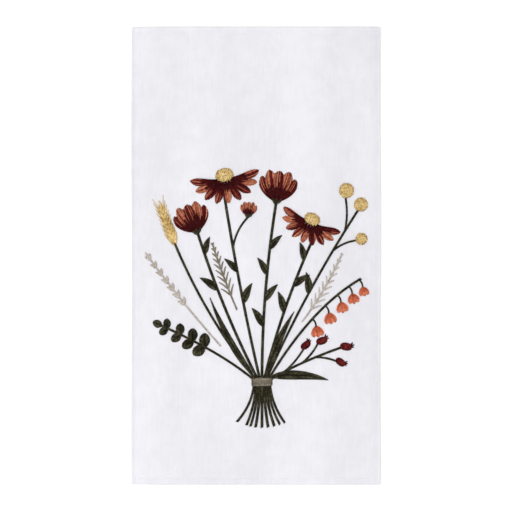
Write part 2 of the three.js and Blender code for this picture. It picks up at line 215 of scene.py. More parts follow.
def left_flap_height(x):
    start = right_flap_edge - FLAP_START
    return ground + (flap_level - ground) * lift(x, start - FLAP_RUN, start)


def panel_height(x):
    left_start = right_flap_edge + PANEL_BEFORE
    right_start = left_flap_edge + PANEL_BEFORE
    left_drop = panel_level - (ground + 2 * LEFT_FOLD_RADIUS)
    right_drop = panel_level - (ground + 2 * RIGHT_FOLD_RADIUS)
    left = 1 - lift(x, left_start - LEFT_RUN, left_start)
    right = lift(x, right_start, right_start + RIGHT_RUN)
    return panel_level - left_drop * left - right_drop * right


def panel_wave(x, y):
    """Soft waves in the plain cloth above and below the embroidery"""
    plain = lift(y, *PLAIN_TOP) + 1 - lift(y, *PLAIN_BOTTOM)
    across = 1 + np.sin(x / 31 + y / 90 + 0.6)
    along_it = 1 + np.sin(y / 27 - x / 140)
    return WAVE * plain * across * along_it / 4


# Ironed cotton keeps low ripples, most of them running along the towel.
RIPPLES = 22
RIPPLE_SLOPE = 0.0055
RIPPLE_LENGTHS = (8, 60)
ripple_dice = np.random.default_rng(5)
ripple_length = ripple_dice.uniform(*RIPPLE_LENGTHS, RIPPLES)
ripple_turn = ripple_dice.normal(0, 0.4, RIPPLES)
ripple_start = ripple_dice.uniform(0, 2 * math.pi, RIPPLES)


def ripples(x, y):
    height = np.zeros(np.broadcast(x, y).shape)
    for length, turn, start in zip(ripple_length, ripple_turn, ripple_start):
        run = x * math.cos(turn) + y * math.sin(turn)
        height += RIPPLE_SLOPE * length / (2 * math.pi) * np.sin(2 * math.pi * run / length + start)
    return height


# Creases: the line beside the lower right fold, and the droop of the top left corner
CREASE = {"x": 118.2, "depth": 0.34, "width": 2.2, "top": -150.0, "fade": 40.0, "sway": 0.5, "run": 17.0}
DROOP = {"depth": 0.45, "across": 7.0, "down": 26.0}


def creases(x, y):
    line = CREASE["x"] + CREASE["sway"] * np.sin(y / CREASE["run"])
    fade = 1 - lift(y, CREASE["top"] - CREASE["fade"], CREASE["top"])
    crease = CREASE["depth"] * fade * np.exp(-((x - line) / CREASE["width"]) ** 2)
    from_corner = ((x + half_x) / DROOP["across"]) ** 2 + ((y - half_y) / DROOP["down"]) ** 2
    return -crease - DROOP["depth"] * np.exp(-from_corner)


def hem_relief(y):
    """The row of stitches pulls a groove into a hem, and its folded edge is rounded"""
    inwards = half_y - np.abs(y)
    groove = HEM_GROOVE["depth"] * np.exp(-((inwards - HEM_SEAM) / HEM_GROOVE["width"]) ** 2)
    step = HEM_STEP * lift(inwards, HEM_DEPTH - 0.6, HEM_DEPTH + 0.8)
    edge = HEM_ROUND["depth"] * (1 - lift(inwards, -HEM_ROUND["width"] / 3, HEM_ROUND["width"]))
    return -groove - step - edge


def cloth_top(x, y):
    """Height of the panel's upper face, in millimetres"""
    return panel_height(x) + SHEET / 2 + panel_wave(x, y) + ripples(x, y) + creases(x, y)


# The ribbon's stations: where each lies, and how far it is from the flaps (0) to the panel (1)
PANEL_STEPS = 156
FLAP_STEPS = 30
HEM_STEPS = 4
FOLD_STEPS = 10


def spaced(first, last, steps):
    return np.linspace(first, last, steps, endpoint=False)


def fold_turn(first, last):
    return np.radians(spaced(first, last, FOLD_STEPS))


def pressed(share):
    """Draws a fold's round out towards the corners of its box"""
    return np.sign(share) * np.abs(share) ** FOLD_SQUARENESS


left_flap_x = np.concatenate([
    spaced(left_flap_edge, left_flap_edge - HEM_DEPTH, HEM_STEPS),
    spaced(left_flap_edge - HEM_DEPTH, left_fold_x, FLAP_STEPS),
])
left_turn = fold_turn(-90, -270)
panel_x = spaced(left_fold_x, right_fold_x, PANEL_STEPS)
right_turn = fold_turn(90, -90)
right_flap_x = np.concatenate([
    spaced(right_fold_x, right_flap_edge + HEM_DEPTH, FLAP_STEPS),
    np.linspace(right_flap_edge + HEM_DEPTH, right_flap_edge, HEM_STEPS + 1),
])
station_x = np.concatenate([
    left_flap_x,
    left_fold_x + LEFT_FOLD_RADIUS * pressed(np.cos(left_turn)),
    panel_x,
    right_fold_x + RIGHT_FOLD_RADIUS * pressed(np.cos(right_turn)),
    right_flap_x,
])
station_z = np.concatenate([
    left_flap_height(left_flap_x),
    ground + LEFT_FOLD_RADIUS * (1 + pressed(np.sin(left_turn))),
    panel_height(panel_x),
    ground + RIGHT_FOLD_RADIUS * (1 + pressed(np.sin(right_turn))),
    np.full(right_flap_x.size, ground),
])
station_layer = np.concatenate([
    np.zeros(left_flap_x.size),
    spaced(0, 1, FOLD_STEPS),
    np.ones(PANEL_STEPS),
    spaced(1, 0, FOLD_STEPS),
    np.zeros(right_flap_x.size),
])
step_lengths = np.hypot(np.diff(station_x), np.diff(station_z))
station_cut = np.concatenate([[0], np.cumsum(step_lengths)])
run_x = np.gradient(station_x, station_cut)
run_z = np.gradient(station_z, station_cut)
run_length = np.hypot(run_x, run_z)


def on_ribbon(cut, y, proud=0.0):
    """Places on the cloth's outer face, in millimetres, and the way it faces there.

    cut is how far across the flat cloth each place is, and proud how far it stands off the face."""
    x = np.interp(cut, station_cut, station_x)
    z = np.interp(cut, station_cut, station_z)
    layer = np.interp(cut, station_cut, station_layer)
    face_x = np.interp(cut, station_cut, -run_z / run_length)
    face_z = np.interp(cut, station_cut, run_x / run_length)
    y = y * (1 - (1 - layer) * SKEW / half_y)
    upper = layer * (panel_wave(x, y) + ripples(x, y) + creases(x, y) + hem_relief(y))
    off = SHEET / 2 + proud
    wander = FOLD_DRIFT * (1 + np.sin(y / FOLD_DRIFT_RUN + np.sign(x))) / 2 * x / half_x
    place = np.stack([x + face_x * off + wander, y, z + face_z * off + upper], axis=-1)
    facing = np.stack([face_x, np.zeros_like(face_x), face_z], axis=-1)
    return place, facing


# Painted light and shade: this shift puts a lighter band of the cloth's colour to the right of the middle
PAINTED_BAND_SHIFT = 1.2  # brings a lighter band to the right of the middle
# Painted shade along the two folds: what the cloth's colour is multiplied by, at places from the towel's
# middle line
PAINTED_FOLD_SHADE = [
    (-124.4, "#F9F9F9"), (-122.4, "#F8F8F8"), (-120.3, "#FFFFFF"),
    (112.0, "#FFFFFF"), (118.5, "#FBFBFB"), (121.5, "#FAFAFA"), (124.0, "#FFFFFF"),
]


def bleached_cotton():
    """Plain-woven cotton, bleached and ironed: matte and soft, a little uneven where yarns run thick,
    with the cool cast of its whitener. The real threads lie 0.42 mm apart, drawn at 0.8 mm."""
    thread_spacing = 0.8 * MM
    wave_scale = math.pi / 10 / (2 * thread_spacing)  # Wave bands repeat every PI / 10 at scale 1
    material = bpy.data.materials.new("bleached_cotton")
    material.use_nodes = True
    tree = material.node_tree
    shader = tree.nodes["Principled BSDF"]
    shader.inputs["Roughness"].default_value = 0.92
    shader.inputs["Specular IOR Level"].default_value = 0.25
    shader.inputs["Subsurface Weight"].default_value = 0.5  # light passes a millimetre through thin cotton
    shader.inputs["Subsurface Radius"].default_value = (1.0, 1.0, 1.0)
    shader.inputs["Subsurface Scale"].default_value = 0.9 * MM
    shader.inputs["Sheen Weight"].default_value = 0.12
    shader.inputs["Sheen Roughness"].default_value = 0.45
    cut = add_node(tree, "ShaderNodeUVMap", uv_map="cut").outputs["UV"]

    # Thick places in the warp yarns: 2.4 mm across and 22 mm long
    slub_scale = (1 / (2.4 * MM), 1 / (22 * MM), 1)
    slub_place = add_node(tree, "ShaderNodeMapping", {"Vector": cut, "Scale": slub_scale})
    slubs = add_node(tree, "ShaderNodeTexNoise", {
        "Vector": slub_place.outputs["Vector"], "Scale": 1.0, "Detail": 3.0, "Roughness": 0.65,
    })
    # Cloudiness left by washing and ironing, 16 mm across
    clouds = add_node(tree, "ShaderNodeTexNoise", {
        "Vector": cut, "Scale": 1 / (16 * MM), "Detail": 5.0, "Roughness": 0.62,
    })
    # Broad faint bands of painted shade down the towel, over the layers below: 60 mm across and 240 mm
    # long
    painted_band_scale = (1 / (60 * MM), 1 / (240 * MM), 1)
    painted_band_place = add_node(tree, "ShaderNodeMapping", {
        "Vector": cut, "Location": (PAINTED_BAND_SHIFT, 0.3, 0), "Scale": painted_band_scale,
    })
    bands = add_node(tree, "ShaderNodeTexNoise", {
        "Vector": painted_band_place.outputs["Vector"], "Scale": 1.0, "Detail": 1.0,
    })
    painted_band_share = add_node(tree, "ShaderNodeMath", {
        0: bands.outputs["Fac"], 1: -0.64, 2: 0.38,
    }, operation="MULTIPLY_ADD")
    slub_share = add_node(tree, "ShaderNodeMath", {
        0: slubs.outputs["Fac"], 1: 0.38, 2: painted_band_share.outputs[0],
    }, operation="MULTIPLY_ADD")
    uneven = add_node(tree, "ShaderNodeMath", {
        0: clouds.outputs["Fac"], 1: 0.5, 2: slub_share.outputs[0],
    }, operation="MULTIPLY_ADD")
    tint = add_node(tree, "ShaderNodeValToRGB", {"Fac": uneven.outputs[0]})
    tint.color_ramp.elements[0].position = 0.36
    tint.color_ramp.elements[0].color = linear("#D6D5DA")
    tint.color_ramp.elements[1].position = 0.64
    tint.color_ramp.elements[1].color = linear("#DFDEE3")

    # Painted shade beside each fold, where the cloth rolls down just inside it: a thin line at the sharp
    # left one, and a broader one at the soft right one. The ramp runs from one side of the towel to the
    # other.
    place = add_node(tree, "ShaderNodeTexCoord")
    sides = add_node(tree, "ShaderNodeSeparateXYZ", {"Vector": place.outputs["Object"]})
    across_towel = add_node(tree, "ShaderNodeMapRange", {
        "Value": sides.outputs["X"], "From Min": -half_x * MM, "From Max": half_x * MM,
    })
    painted_fold_shade = add_node(tree, "ShaderNodeValToRGB", {"Fac": across_towel.outputs["Result"]})
    stops = painted_fold_shade.color_ramp.elements
    # Each stop darkens the cloth's colour there with painted shade
    for from_middle, shade in PAINTED_FOLD_SHADE:
        stops.new(0.5 + from_middle / PANEL_WIDTH).color = linear(shade)
    stops.remove(stops[0])
    stops.remove(stops[-1])
    shade_painted_cotton = add_node(tree, "ShaderNodeMix", {
        0: 1.0, 6: tint.outputs["Color"], 7: painted_fold_shade.outputs["Color"],
    }, data_type="RGBA", blend_type="MULTIPLY")
    tree.links.new(shade_painted_cotton.outputs[2], shader.inputs["Base Color"])

    # Over one and under one: the two sets of threads rise in a checkerboard.
    warp = add_node(tree, "ShaderNodeTexWave", {"Vector": cut, "Scale": wave_scale}, bands_direction="X")
    weft = add_node(tree, "ShaderNodeTexWave", {"Vector": cut, "Scale": wave_scale}, bands_direction="Y")
    warp_rise = add_node(tree, "ShaderNodeMath", {0: warp.outputs["Fac"], 1: 0.5}, operation="SUBTRACT")
    weft_rise = add_node(tree, "ShaderNodeMath", {0: weft.outputs["Fac"], 1: 0.5}, operation="SUBTRACT")
    weave = add_node(tree, "ShaderNodeMath", {
        0: warp_rise.outputs[0], 1: weft_rise.outputs[0],
    }, operation="MULTIPLY")
    relief = add_node(tree, "ShaderNodeMath", {
        0: weave.outputs[0], 1: 1.2, 2: uneven.outputs[0],
    }, operation="MULTIPLY_ADD")
    bump = add_node(tree, "ShaderNodeBump", {
        "Height": relief.outputs[0], "Strength": 0.8, "Distance": 0.12 * MM,
    })
    tree.links.new(bump.outputs["Normal"], shader.inputs["Normal"])
    return material


# Along the towel the rows are close together in the end hems.
HEM_ROWS = 12
HEM_ROW_REACH = 11.0
PLAIN_ROWS = 164
rows_y = np.concatenate([
    spaced(-half_y, -half_y + HEM_ROW_REACH, HEM_ROWS),
    spaced(-half_y + HEM_ROW_REACH, half_y - HEM_ROW_REACH, PLAIN_ROWS),
    np.linspace(half_y - HEM_ROW_REACH, half_y, HEM_ROWS + 1),
])
across = station_cut.size - 1
along_rows = rows_y.size - 1

bm = bmesh.new()
bmesh.ops.create_grid(bm, x_segments=across, y_segments=along_rows, size=0.5)
cloth_mesh = bpy.data.meshes.new("towel_cloth")
bm.to_mesh(cloth_mesh)
bm.free()
flat_places = np.empty(3 * len(cloth_mesh.vertices))
cloth_mesh.vertices.foreach_get("co", flat_places)
flat_places = flat_places.reshape(-1, 3)
column = np.rint((flat_places[:, 0] + 0.5) * across).astype(int)
row = np.rint((flat_places[:, 1] + 0.5) * along_rows).astype(int)
cloth_places, _ = on_ribbon(station_cut[column], rows_y[row])
cloth_mesh.vertices.foreach_set("co", (cloth_places * MM).ravel())

# The material follows the flat cloth, in metres across and along it.
cut_layer = cloth_mesh.uv_layers.new(name="cut")
corner_of = np.empty(len(cloth_mesh.loops), dtype=int)
cloth_mesh.loops.foreach_get("vertex_index", corner_of)
flat_cut = np.stack([station_cut[column], rows_y[row]], axis=-1) * MM
cut_layer.data.foreach_set("uv", flat_cut[corner_of].ravel())
cloth_mesh.update()

towel = add_object("towel_cloth", cloth_mesh, bleached_cotton())
hem = towel.vertex_groups.new(name="hem")
from_side = np.minimum(station_cut[column], station_cut[-1] - station_cut[column])
from_end = half_y - np.abs(rows_y[row])
in_hem = np.minimum(from_side, from_end) < HEM_DEPTH + 0.01
hem.add(np.flatnonzero(in_hem).tolist(), 1.0, "REPLACE")
body = towel.modifiers.new("cloth_thickness", "SOLIDIFY")
body.thickness = HEM_THICKNESS * MM
body.offset = -1
body.vertex_group = "hem"
body.thickness_vertex_group = CLOTH_THICKNESS / HEM_THICKNESS
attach(towel, "root")
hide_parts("towel")


# Threads
# Everything sewn on the towel is thread: soft yarn of two plies, laid as short closed lengths whose
# ends dive into the cloth. A length is a tube shaped from a cone, repeated from arrays of places.
def thread_form(sides, stations):
    """A closed tube along Z: each corner's ring and angle, its faces, and where round it each is"""
    bm = bmesh.new()
    span = stations - 1
    bmesh.ops.create_cone(
        bm, cap_ends=True, cap_tris=False, segments=sides, radius1=1, radius2=1, depth=span)
    for k in range(1, span):
        everything = bm.verts[:] + bm.edges[:] + bm.faces[:]
        bmesh.ops.bisect_plane(bm, geom=everything, plane_co=(0, 0, k - span / 2), plane_no=(0, 0, 1))
    bm.verts.index_update()
    ring = np.array([round(v.co.z + span / 2) for v in bm.verts])
    angle = np.array([math.atan2(v.co.y, v.co.x) for v in bm.verts])
    loops = []
    starts = []
    around = []
    for face in bm.faces:
        starts.append(len(loops))
        corners = [v.index for v in face.verts]
        turns = np.mod(angle[corners] / (2 * math.pi), 1)
        if np.ptp(turns) > 0.5:
            turns = np.where(turns < 0.5, turns + 1, turns)
        loops.extend(corners)
        around.extend(turns)
    bm.free()
    return ring, angle, np.array(loops), np.array(starts), np.array(around)


THREAD_FORMS = {}
SHADE_SPREAD = 0.1  # threads of one colour differ by this share of its range
STITCH_WANDER = 0.06  # how far a machine's stitches stray


def unit(vectors):
    return vectors / np.maximum(np.linalg.norm(vectors, axis=-1, keepdims=True), 1e-9)


class Stitching:
    """Lengths of thread of one colour, gathered and then made one mesh"""

    def __init__(self):
        self.parts = []

    def lay(self, points, tone, wide, high, up=(0.0, 0.0, 1.0), sides=5, underside=-1.0):
        """Lays a tube along each row of points, in millimetres. tone is its shade from dark to light."""
        count, stations = points.shape[:2]
        if (sides, stations) not in THREAD_FORMS:
            THREAD_FORMS[sides, stations] = thread_form(sides, stations)
        ring, angle, loops, starts, around = THREAD_FORMS[sides, stations]
        ahead = unit(np.gradient(points, axis=1))
        aside = unit(np.cross(np.asarray(up), ahead))
        over = np.cross(ahead, aside)
        tone = np.broadcast_to(tone, (count, stations))
        wide = np.broadcast_to(wide, (count, stations))[:, ring, None]
        high = np.broadcast_to(high, (count, stations))[:, ring, None]
        steps = np.linalg.norm(np.diff(points, axis=1), axis=-1)
        run = np.concatenate([np.zeros((count, 1)), np.cumsum(steps, axis=1)], axis=1)
        sideways = np.cos(angle)[None, :, None] * aside[:, ring] * wide
        upwards = np.maximum(np.sin(angle), underside)[None, :, None] * over[:, ring] * high
        places = points[:, ring] + sideways + upwards
        self.keep(places, tone[:, ring], run[:, ring], loops, starts, around)

    def keep(self, places, tone, run, loops, starts, around):
        count, corners = places.shape[:2]
        each = np.arange(count)[:, None]
        self.parts.append({
            "places": places.reshape(-1, 3),
            "tone": tone.ravel(),
            "run": run[:, loops].ravel(),
            "loops": (loops + corners * each).ravel(),
            "starts": (starts + loops.size * each).ravel(),
            "around": np.tile(around, count),
        })

    def sew(self, name, material):
        """Makes the mesh, with u along and v around each thread, and its shade as the point value tone"""
        corner_total = 0
        loop_total = 0
        for part in self.parts:
            part["loops"] = part["loops"] + corner_total
            part["starts"] = part["starts"] + loop_total
            corner_total += len(part["places"])
            loop_total += part["loops"].size
        whole = {key: np.concatenate([part[key] for part in self.parts]) for key in self.parts[0]}
        mesh = bpy.data.meshes.new(name)
        mesh.vertices.add(corner_total)
        mesh.vertices.foreach_set("co", (whole["places"] * MM).ravel())
        mesh.loops.add(loop_total)
        mesh.loops.foreach_set("vertex_index", whole["loops"])
        mesh.polygons.add(whole["starts"].size)
        mesh.polygons.foreach_set("loop_start", whole["starts"])
        mesh.update(calc_edges=True)
        thread_map = mesh.uv_layers.new(name="thread")
        thread_map.data.foreach_set("uv", np.stack([whole["run"] * MM, whole["around"]], axis=-1).ravel())
        shade = mesh.attributes.new("tone", "FLOAT", "POINT")
        shade.data.foreach_set("value", whole["tone"])
        return add_object(name, mesh, material)


def twisted_thread(name, dark, middle, light, gloss, depth):
    """Two-ply thread: a fine slanting twist on every length, and shades that wander a little along it.
    dark, middle and light are its shades, gloss its roughness and depth the twist's relief."""
    twist_length = 1.4 * MM  # one turn of the plies, drawn longer than the real 0.7 mm so that it shows
    plies = 2
    material = bpy.data.materials.new(name)
    material.use_nodes = True
    tree = material.node_tree
    shader = tree.nodes["Principled BSDF"]
    shader.inputs["Roughness"].default_value = gloss
    shader.inputs["Specular IOR Level"].default_value = 0.05
    tone = add_node(tree, "ShaderNodeAttribute", attribute_name="tone")
    place = add_node(tree, "ShaderNodeTexCoord")
    flecks = add_node(tree, "ShaderNodeTexNoise", {
        "Vector": place.outputs["Object"], "Scale": 1 / (2.4 * MM), "Detail": 2.0,
    })
    wander = add_node(tree, "ShaderNodeMapRange", {
        "Value": flecks.outputs["Fac"], "From Min": 0.3, "From Max": 0.7, "To Min": -0.2, "To Max": 0.2,
    })
    shade = add_node(tree, "ShaderNodeMath", {
        0: tone.outputs["Fac"], 1: wander.outputs["Result"],
    }, operation="ADD")
    colour = add_node(tree, "ShaderNodeValToRGB", {"Fac": shade.outputs[0]})
    stops = colour.color_ramp.elements
    stops[0].color = linear(dark)
    stops[1].color = linear(light)
    stops.new(0.5).color = linear(middle)
    tree.links.new(colour.outputs["Color"], shader.inputs["Base Color"])
    # u is turned into turns of the plies, and v adds one band for each of them.
    thread_place = add_node(tree, "ShaderNodeUVMap", uv_map="thread")
    turned = add_node(tree, "ShaderNodeMapping", {
        "Vector": thread_place.outputs["UV"], "Scale": (plies / twist_length, plies, 1),
    })
    twist = add_node(tree, "ShaderNodeTexWave", {
        "Vector": turned.outputs["Vector"], "Scale": math.pi / 10 * math.sqrt(2),
    }, bands_direction="DIAGONAL")
    bump = add_node(tree, "ShaderNodeBump", {
        "Height": twist.outputs["Fac"], "Strength": 0.7, "Distance": depth,
    })
    tree.links.new(bump.outputs["Normal"], shader.inputs["Normal"])
    return material


# Hem stitches
# White cotton lockstitch, sewn by machine through the three layers of every hem, a millimetre inside its
# turned edge: over the panel and both folds at the ends, and down the flaps' own edges underneath.
HEM_STITCH = 2.6
HEM_STITCH_GAP = 0.35
HEM_THREAD = 0.21  # half the thread's width
HEM_PROUD = 0.12
HEM_DIVE = 0.3  # how far a stitch's ends go in
HEM_SUNK = 0.2  # a flap's stitches are pressed this much deeper than the panel's
HEM_CORNER = 5.0  # the rows end this far from the cloth's edges
hem_dice = np.random.default_rng(11)
hem_stitches = Stitching()
hem_share = np.linspace(-0.5, 0.5, 7)


def hem_row(first, last, fixed, across_cloth):
    """A row of stitches across the cloth at y fixed, or along it at fixed from the left flap's edge"""
    count = int((last - first) / (HEM_STITCH + HEM_STITCH_GAP))
    middle = np.linspace(first, last, count + 1)[:-1] + HEM_STITCH / 2
    run = middle[:, None] + hem_share * HEM_STITCH
    level_line = fixed + hem_dice.normal(0, STITCH_WANDER, (count, 1)) + 0 * run
    cut, y = (run, level_line) if across_cloth else (level_line, run)
    on_flap = 1 - np.interp(cut, station_cut, station_layer)
    proud = HEM_PROUD - HEM_DIVE * np.abs(2 * hem_share) ** 5 - HEM_SUNK * on_flap
    places, facing = on_ribbon(cut, y, proud)
    tone = 0.5 + hem_dice.normal(0, SHADE_SPREAD, (count, 1))
    hem_stitches.lay(places, tone, HEM_THREAD, HEM_THREAD, facing)


for end in (-1, 1):
    hem_row(HEM_CORNER, station_cut[-1] - HEM_CORNER, end * (half_y - HEM_SEAM), True)
for fixed in (HEM_SEAM, station_cut[-1] - HEM_SEAM):
    hem_row(HEM_CORNER - half_y, half_y - HEM_CORNER, fixed, False)
hem_thread = twisted_thread("cotton_sewing_thread", "#DFDFE4", "#E9E9ED", "#F1F1F4", 0.75, 0.05 * MM)
hem_piece = hem_stitches.sew("hem_stitches", hem_thread)
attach(hem_piece, "root")


# Stems
# Flower stems of dark olive rayon in close satin stitch: thread laid from side to side over a padding
# of the same thread, by machine. They rise from the tie to their flowers, and some of them branch.
PITCH = 0.6  # from one thread to the next; the real 0.4 mm is drawn a little coarser
THREAD_WIDE = 0.33  # half the width of a laid thread, which its neighbours press flat
THREAD_HIGH = 0.26
DIVE = 0.1  # how far an end goes into the cloth
END_WANDER = 0.05
BLUNT = 0.25  # half the width of a stitched tip
# The padding is drawn in its thread's dark shade: painted shade in the gaps between the laid threads
PADDING = {"share": 0.82, "tone": 0.12, "sides": 8}  # share of the height over it
# Painted sheen: the satin's tone rises and falls in patches along a shape
PAINTED_SHEEN = 0.1  # how far the shade comes and goes along a shape
PAINTED_SHEEN_RUN = 3.1
GATHER = np.array([6.0, -126.0])  # where the stems are tied together
TIE_LENGTH = 21.0
TIE_WIDTH = 8.0
TIE_HEIGHT = 1.15
TUCKED = 0.3  # how far the stems run in under the tie
STEM_END = 46.0  # from the middle of the tie to the cut ends

# Half the width along a shape is sin(PI * t ** skew) ** fullness of its widest.
BAND = {"skew": 0.0, "fullness": 0.0}


def towards(degrees, length=1.0):
    turn = np.radians(degrees)
    return np.stack([np.cos(turn), np.sin(turn)], axis=-1) * length


def along(spine, t):
    """Places along a bent line, given by its start, its bend and its end"""
    t = np.asarray(t, float)[..., None]
    return (1 - t) ** 2 * spine[0] + 2 * t * (1 - t) * spine[1] + t * t * spine[2]


def ahead_of(spine, t):
    t = np.asarray(t, float)[..., None]
    return unit((1 - t) * (spine[1] - spine[0]) + t * (spine[2] - spine[1]))


def left_of(spine, t):
    """The way to the left of a bent line's run"""
    ahead = ahead_of(spine, t)
    return np.stack([-ahead[..., 1], ahead[..., 0]], axis=-1)


def heading(spine, t):
    x, y = ahead_of(spine, t)
    return math.degrees(math.atan2(y, x))


def bow(start, degrees, length, bend=0.0):
    """A bowed line whose middle bulges by bend of its length to the left"""
    middle = start + towards(degrees, length / 2) + towards(degrees + 90, bend * length)
    return np.array([start, middle, start + towards(degrees, length)])


def stretch(spine, first, last):
    """The stretch of a bent line between two of its shares"""
    middle = (1 - first) * (1 - last) * spine[0] + first * last * spine[2]
    middle = middle + (first * (1 - last) + last * (1 - first)) * spine[1]
    return np.array([along(spine, first), middle, along(spine, last)])


def half_width(width, t, skew, fullness):
    if fullness == 0:
        return np.full(np.shape(t), width / 2)
    swell = np.maximum(0, np.sin(math.pi * np.asarray(t, float) ** skew))
    return np.maximum(BLUNT, swell ** fullness * width / 2)


def evenly(spine, pitch):
    """Shares along a bent line that lie a pitch apart, and the line's length"""
    fine = np.linspace(0, 1, 161)
    steps = np.linalg.norm(np.diff(along(spine, fine), axis=0), axis=1)
    run = np.concatenate([[0], np.cumsum(steps)])
    count = max(2, round(run[-1] / pitch))
    return np.interp((np.arange(count) + 0.5) / count * run[-1], run, fine), run[-1]


def rise(reach):
    """Wide stitches stand higher than narrow ones"""
    return np.minimum(1, 0.35 + reach / 2)


def on_cloth(flat, off):
    """Places that stand off the panel's face"""
    height = cloth_top(flat[..., 0], flat[..., 1]) + off
    return np.concatenate([flat, height[..., None]], axis=-1)


def arches(start, end, profile, shares, crown, level):
    """Threads from start to end that stand off the cloth as profile says, at each of shares"""
    shares = np.asarray(shares)[None, :, None]
    flat = start[:, None] * (1 - shares) + end[:, None] * shares
    off = np.asarray(profile)[None, :] * (np.asarray(crown)[..., None] + level)
    return on_cloth(flat, off - DIVE)


def pad(stitching, spine, width, form, crown, level=0.0, full=0.86, last=0.98):
    """The padding below a satin shape, one soft bar of the same thread, dark with painted shade"""
    shares = np.linspace(0.02, last, 9)
    reach = half_width(width, shares, **form)
    points = on_cloth(along(spine, shares), 0)
    high = PADDING["share"] * (crown * rise(reach) + level)
    stitching.lay(
        points[None], PADDING["tone"], (reach * full)[None], high[None], sides=PADDING["sides"],
        underside=-0.08)


def satin(
        stitching, spine, width, form, dice, crown=0.8, level=0.0, slant=30.0, shade=0.48, shadow=0.24):
    """Satin stitch from side to side over its padding, shaded darker by shadow where it dives: painted
    shade.
    A painted highlight lightens each thread's crown.
    """
    shares, length = evenly(spine, PITCH)
    reach = half_width(width, shares, **form)
    reach = reach + dice.normal(0, END_WANDER, reach.size)
    forward = math.tan(math.radians(slant)) * reach / length
    before = np.clip(shares - forward, 0, 1)
    after = np.clip(shares + forward, 0, 1)
    start = along(spine, before) + left_of(spine, shares) * reach[:, None]
    end = along(spine, after) - left_of(spine, shares) * reach[:, None]
    points = arches(start, end, [0, 0.66, 1, 0.66, 0], [0, 0.12, 0.5, 0.88, 1], crown * rise(reach), level)
    painted_sheen = PAINTED_SHEEN * np.sin(shares * length / PAINTED_SHEEN_RUN + dice.uniform(0, 6))
    tone = shade + painted_sheen[:, None] + dice.normal(0, SHADE_SPREAD, (reach.size, 1))
    # Painted shade at each thread's two ends, where it dives, and a painted highlight on its crown
    stitching.lay(points, tone + np.array([-shadow, 0, 0.1, 0, -shadow]), THREAD_WIDE, THREAD_HIGH)
    pad(stitching, spine, width, form, crown, level)


def stem_spine(offset, lean, tip, reach):
    """A stem leaves the tie at lean degrees and bends after reach of its length."""
    start = GATHER + (offset, TIE_WIDTH / 4)
    middle = start + towards(lean, reach * np.linalg.norm(np.array(tip) - start))
    return np.array([start, middle, np.array(tip, float)])


# Each stem's place in the tie, its lean there, its tip and its width. A stem bends at the share REACH,
# and runs on below its flower by UNDER, if its row gives no other. A low level takes it in under petals.
REACH = 0.5
UNDER = 2.5
STEMS = {
    "eucalyptus": {"offset": -8, "lean": 140, "tip": (-94, -70), "width": 2.2, "reach": 0.4},
    "wheat": {"offset": -6, "lean": 129, "tip": (-94, 46), "width": 2.2},
    "poppy_left": {"offset": -4, "lean": 117, "tip": (-58, 22), "width": 2.6},
    "cone_left": {"offset": -2, "lean": 103, "tip": (-30, 50), "width": 2.6, "under": 14, "level": -0.4},
    "poppy_top": {"offset": 0, "lean": 90, "tip": (20, 52), "width": 2.6},
    "cone_right": {"offset": 2, "lean": 76, "tip": (53, 8), "width": 2.6, "under": 14, "level": -0.4},
    "globes": {"offset": 4, "lean": 66, "tip": (101, 44), "width": 2.2},
    "bells": {"offset": 6, "lean": 59, "tip": (103, -24), "width": 2.2, "reach": 0.62},
    "hips": {"offset": 8, "lean": 32, "tip": (84, -92), "width": 2.2, "reach": 0.4},
}
WHEAT_DRAWN = 0.825  # the share of its stem that is drawn below the ear
spines = {
    name: stem_spine(row["offset"], row["lean"], row["tip"], row.get("reach", REACH))
    for name, row in STEMS.items()
}


def branch(parent, t, degrees, length, bend):
    spine = spines[parent]
    return bow(along(spine, t), heading(spine, t) + degrees, length, bend)


branches = {
    "bud": branch("cone_left", 0.76, -36, 34, 0.16),
    "globe_top": branch("globes", 0.88, 30, 32, -0.1),
    "globe_low": branch("globes", 0.76, -34, 24, 0.14),
    "hip_middle": branch("hips", 0.52, 26, 24, -0.1),
    "hip_low": branch("hips", 0.7, -32, 20, 0.1),
    "hip_high": branch("hips", 0.26, 22, 28, -0.08),
}
BELL_SHARES = (0.5, 0.64, 0.77, 0.89, 1.0)
BELL_STALK = {"degrees": -60, "length": 7.0, "bend": 0.22}
bell_stalks = [bow(along(spines["bells"], t), **BELL_STALK) for t in BELL_SHARES]

olive = twisted_thread("olive_rayon", "#0D0C06", "#282619", "#585440", 0.36, 0.04 * MM)
stem_dice = np.random.default_rng(21)
stems = Stitching()
STEM_LEVELS = (0.05, 0.3)  # neighbouring stems cross over and under one another
BRANCH = {"width": 1.8, "under": 1.6}
STALK = {"width": 1.4, "under": 1.8}


def longer(spine, more):
    """A bent line that runs on by more millimetres past its end"""
    return stretch(spine, 0, 1 + more / (2 * np.linalg.norm(spine[2] - spine[1])))


for order, (name, stem_row) in enumerate(STEMS.items()):
    past_tie = (TIE_WIDTH / 4 - TUCKED) / (2 * np.linalg.norm(spines[name][1] - spines[name][0]))
    drawn = longer(spines[name], stem_row.get("under", UNDER))
    if name == "wheat":
        drawn = stretch(spines[name], 0, WHEAT_DRAWN)
    satin(
        stems, stretch(drawn, past_tie, 1), stem_row["width"], BAND, stem_dice,
        level=stem_row.get("level", STEM_LEVELS[order % 2]))
for spine in branches.values():
    satin(stems, longer(spine, BRANCH["under"]), BRANCH["width"], BAND, stem_dice, level=0.1)
for spine in bell_stalks:
    satin(stems, longer(spine, STALK["under"]), STALK["width"], BAND, stem_dice, level=0.1)
stem_piece = stems.sew("stem_stitches", olive)
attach(stem_piece, "root")
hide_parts("greenery")


# Willow leaves
# Slim leaves along the flower stems, in split satin stitch: two rows of olive thread slant forward from
# a groove along the middle to either edge.
WILLOW = {"skew": 0.75, "fullness": 0.85}
WILLOW_LEAF = {"length": 22.0, "width": 7.2, "spread": 34.0, "bend": 0.12, "taper": 0.85}
